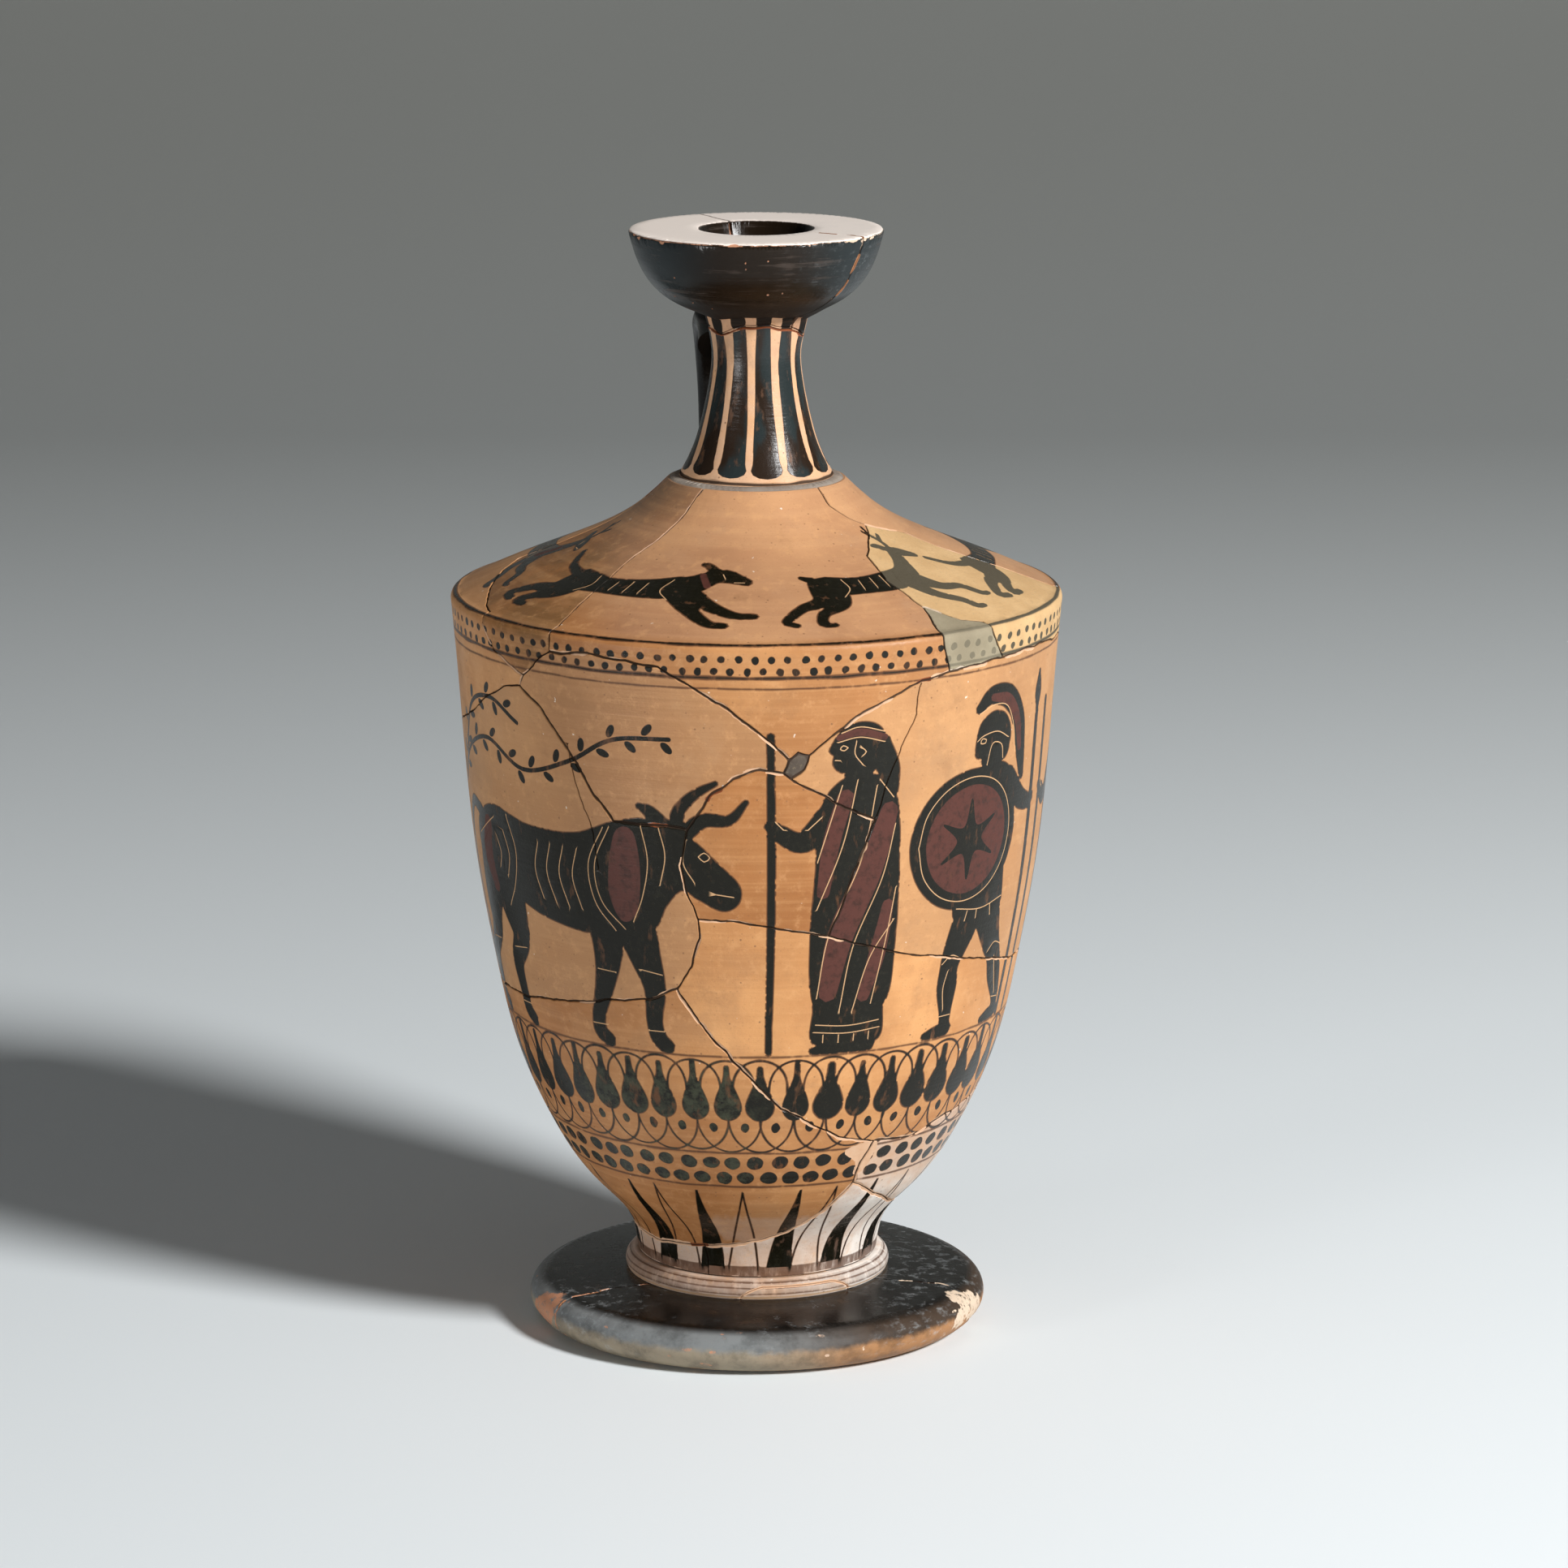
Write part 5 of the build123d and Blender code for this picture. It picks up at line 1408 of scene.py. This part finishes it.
def black_gloss():
    """Black gloss over clay, streaked by the wheel, worn along its edges, with lime from the ground."""
    n = Nodes("black_gloss")
    clay = clay_colour(n)[0]
    streak = n.noise(1.0, 4.0, 0.65, stretch=(0.05, 0.05, 1.1))
    cloud = n.noise(0.07, 4.0, 0.6)
    gloss = n.value("gloss")
    brushed = n.math("ADD", n.times(streak, 0.55), n.times(cloud, 0.45))
    thick = n.times(gloss, n.step(brushed, 0.34, 0.58, 0.73, 1.0))
    wash = n.step(thick, 0.15, 0.5)
    full = n.step(thick, 0.55, 0.85)
    black = n.mix(n.step(n.noise(0.12, 5.0, 0.65), 0.48, 0.72, 0.0, 0.7), rgb(0.006, 0.005, 0.004),
                  rgb(0.018, 0.018, 0.017))
    aside = n.math("ABSOLUTE", n.x)
    # Painted reflection: the bowl's black turns bluish towards its sides, as the gloss mirrors the light
    # there; at the front it stays brown-black.
    bowl = n.mix(n.step(aside, 6.0, 19.0), rgb(0.014, 0.008, 0.004), rgb(0.017, 0.024, 0.026))
    black = n.mix(n.step(n.z, 199.0, 203.0, 0.0, 0.8), black, bowl)
    top = n.mix(n.step(n.z, 204.5, 207.0, 0.0, 0.85), clay, rgb(0.95, 0.87, 0.80))
    colour = n.mix(n.times(wash, 0.92), top, rgb(0.040, 0.019, 0.010))
    colour = n.mix(full, colour, black)
    edge = n.times(n.step(n.z, 9.0, 8.0), n.step(n.noise(0.2, 6.0, 0.65), 0.3, 0.6, 0.55, 1.0))
    foot = n.math("ADD", n.z, n.times(n.noise(0.3, 5.0, 0.65), 2.4))
    right = n.step(n.math("ADD", n.x, n.times(cloud, 20.0)), 8.0, 36.0)
    upper = n.mix(right, rgb(0.19, 0.20, 0.20), rgb(0.055, 0.036, 0.024))
    lower = n.mix(right, rgb(0.30, 0.25, 0.18), rgb(0.37, 0.185, 0.08))
    colour = n.mix(edge, colour, n.mix(n.step(foot, 7.4, 5.8), upper, lower))
    powdered = n.most(n.step(cloud, 0.52, 0.70, 0.0, 0.6), n.step(aside, 16.0, 36.0, 0.0, 0.9))
    low = n.times(n.step(n.z, 12.0, 10.9), powdered)
    high = n.times(n.step(n.z, 205.0, 212.0, 0.0, 0.22), n.step(n.x, 2.0, 15.0))
    smear = n.noise(0.42, 9.0, 0.72, stretch=(1.0, 1.0, 2.0))
    dust = n.times(n.math("ADD", low, high), n.step(smear, 0.50, 0.74))
    colour = n.mix(n.times(dust, 0.6), colour, rgb(0.40, 0.43, 0.44))
    worn = n.step(n.noise(1.1, 7.0, 0.7), 0.70, 0.77, 0.0, 0.7)
    colour = n.mix(worn, colour, rgb(0.33, 0.25, 0.18))
    chip = n.step(n.times(n.value("chip"), n.step(n.noise(0.7, 6.0, 0.7), 0.3, 0.62, 0.3, 1.2)), 0.25, 0.6)
    colour = n.mix(chip, colour, n.mix(right, rgb(0.50, 0.24, 0.14), rgb(0.66, 0.52, 0.39)))
    colour = n.mix(n.step(n.value("glue"), 0.25, 0.6), colour, rgb(0.33, 0.14, 0.06))
    gap = n.step(n.value("gap"), 0.2, 0.55)
    colour = n.mix(n.times(gap, 0.9), colour, rgb(0.05, 0.026, 0.016))
    n.set("Base Color", colour)
    matte = n.most(chip, edge, worn, dust)
    rough = n.blend(full, 0.42, n.step(streak, 0.3, 0.7, 0.27, 0.17))
    under = n.times(n.step(n.z, 208.0, 204.5), n.step(n.z, 199.0, 200.0))
    rough = n.blend(under, rough, 0.72)
    n.set("Roughness", n.blend(matte, rough, 0.62))
    n.set("Specular IOR Level", 0.18)
    skin = n.bump(streak, 0.08, 0.0008)
    skin = n.bump(n.noise(1.6, 5.0, 0.6), 0.10, 0.0004, skin)
    n.set("Normal", skin)
    return n.material


def plaster(name, colour_a, colour_b, dots):
    """A restorer's fill, toned to the clay, with the dots carried on faintly."""
    n = Nodes(name)
    colour = n.mix(n.step(n.noise(0.14, 5.0, 0.6), 0.35, 0.7), colour_a, colour_b)
    colour = n.mix(n.step(n.noise(1.7, 3.0, 0.6), 0.55, 0.75, 0.0, 0.4), colour, rgb(0.30, 0.23, 0.14))
    if dots:
        colour = n.mix(n.times(n.step(n.value("gloss"), 0.2, 0.7), dots), colour, rgb(0.055, 0.05, 0.034))
    colour = n.mix(n.step(n.value("chip"), 0.3, 0.6, 0.0, 0.7), colour, rgb(0.60, 0.50, 0.40))
    colour = n.mix(n.step(n.value("glue"), 0.25, 0.6), colour, rgb(0.20, 0.06, 0.02))
    colour = n.mix(n.step(n.value("gap"), 0.2, 0.55, 0.0, 0.9), colour, rgb(0.05, 0.03, 0.02))
    n.set("Base Color", colour)
    n.set("Roughness", n.step(n.noise(0.5), 0.3, 0.7, 0.6, 0.78))
    n.set("Specular IOR Level", 0.35)
    n.set("Normal", n.bump(n.noise(1.3, 6.0, 0.65), 0.25, 0.0005))
    return n.material


def hold(piece, node, material):
    """A piece stands for its solid, rides with the flask and wears a material."""
    piece.data.materials.append(material)
    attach(piece, "root")
    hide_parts(node)


CLAY = painted_clay()
BLACK = black_gloss()
FILLS = {"band_fill": plaster("grey_fill", rgb(0.25, 0.208, 0.135), rgb(0.31, 0.262, 0.174), 0.5),
         "shoulder_fill": plaster("yellow_fill", rgb(0.52, 0.325, 0.15), rgb(0.60, 0.39, 0.19), 0.95),
         # The chip fill's dark tones are partly the plaster's grey, partly painted shade of the hollow it
         # fills.
         "chip_fill": plaster("dark_fill", rgb(0.075, 0.057, 0.042), rgb(0.18, 0.142, 0.104), 0.0),
         # The seat fill's dark grey is partly the plaster's own, partly painted shade under the neck's foot.
         "neck_seat_fill": plaster("seat_fill", rgb(0.235, 0.19, 0.155), rgb(0.33, 0.285, 0.24), 0.0)}

body = build_body()
for index, name in enumerate(body.label[1]):
    is_fill = name in FILLS
    piece = sherd(body, index, name + ("_plaster" if is_fill else "_painted"), inner_place,
                  TINT.get(name, {"seed": 0.5}))
    hold(piece, name, FILLS.get(name, CLAY))
hold(build_neck(), "neck", CLAY)
hold(build_seat(), "neck_seat_fill", FILLS["neck_seat_fill"])
for node, piece in {**build_mouth(), **build_foot()}.items():
    hold(piece, node, BLACK)
hold(build_handle(), "handle", BLACK)


# Floor, light and camera
def stage():
    """A pale floor that bends up into a backdrop; its colour darkens toward the back and up the backdrop as
    painted shade.
    """
    mesh = bpy.data.meshes.new("floor")
    front, bend_at, bend, top, side, steps = -7.0, 1.1, 0.9, 3.2, 9.0, 16
    profile = [(front, 0.0), (bend_at, 0.0)]
    for k in range(1, steps + 1):
        a = math.radians(90 * k / steps)
        profile.append((bend_at + bend * math.sin(a), bend - bend * math.cos(a)))
    profile.append((bend_at + bend, top))
    verts, faces = [], []
    for y, z in profile:
        verts += [(-side, y, z), (side, y, z)]
    for k in range(len(profile) - 1):
        faces.append((2 * k, 2 * k + 1, 2 * k + 3, 2 * k + 2))
    mesh.from_pydata(verts, [], faces)
    mesh.shade_smooth()
    floor = bpy.data.objects.new("floor", mesh)
    bpy.context.scene.collection.objects.link(floor)
    n = Nodes("studio_floor")
    # Painted shade: the colour goes from pale to grey toward the back and up the backdrop, where the lamps'
    # light falls off.
    height = n.math("ADD", n.times(n.y, 0.00045), n.times(n.z, 0.0009))
    n.set("Base Color", n.mix(n.step(height, 0.02, 0.8), rgb(0.79, 0.835, 0.855), rgb(0.38, 0.39, 0.37)))
    n.set("Roughness", 0.6)
    n.set("Specular IOR Level", 0.2)
    mesh.materials.append(n.material)


def lamp(name, place, aim, size, power):
    """A soft round lamp, turned to a point."""
    light = bpy.data.lights.new(name, "AREA")
    light.shape = "DISK"
    light.size = size
    light.energy = power
    holder = bpy.data.objects.new(name, light)
    holder.location = place
    holder.rotation_euler = (Vector(aim) - Vector(place)).to_track_quat("-Z", "Y").to_euler()
    bpy.context.scene.collection.objects.link(holder)


stage()
lamp("key", (1.07, -0.90, 0.97), (0.0, 0.0, 0.10), 0.34, 40.0)
lamp("left", (-1.1, -1.0, 0.14), (0.0, 0.0, 0.12), 0.26, 6.5)
lamp("top", (-0.2, -0.3, 1.9), (0.0, 0.0, 0.0), 1.4, 1.6)
world = bpy.data.worlds.new("studio")
bpy.context.scene.world = world
world.use_nodes = True
sky = world.node_tree.nodes["Background"].inputs
sky["Color"].default_value = rgb(0.95, 0.97, 1.0)
sky["Strength"].default_value = 0.035

# The camera fitted to the photo: sensor in millimetres, focal length and width in pixels, degrees down
SENSOR = 36.0
FOCAL_PIXELS = 7651.0
PHOTO_PIXELS = 1932.0
LOOK_DOWN = 12.452
camera = bpy.data.cameras.new("camera")
camera.sensor_width = SENSOR
camera.lens = SENSOR * FOCAL_PIXELS / PHOTO_PIXELS
view = bpy.data.objects.new("camera", camera)
view.location = (0.0054, -1.2, 0.3736)
view.rotation_euler = (math.radians(90.0 - LOOK_DOWN), 0.0, 0.0)
bpy.context.scene.collection.objects.link(view)
bpy.context.scene.camera = view
bpy.context.scene.view_settings.view_transform = "Standard"
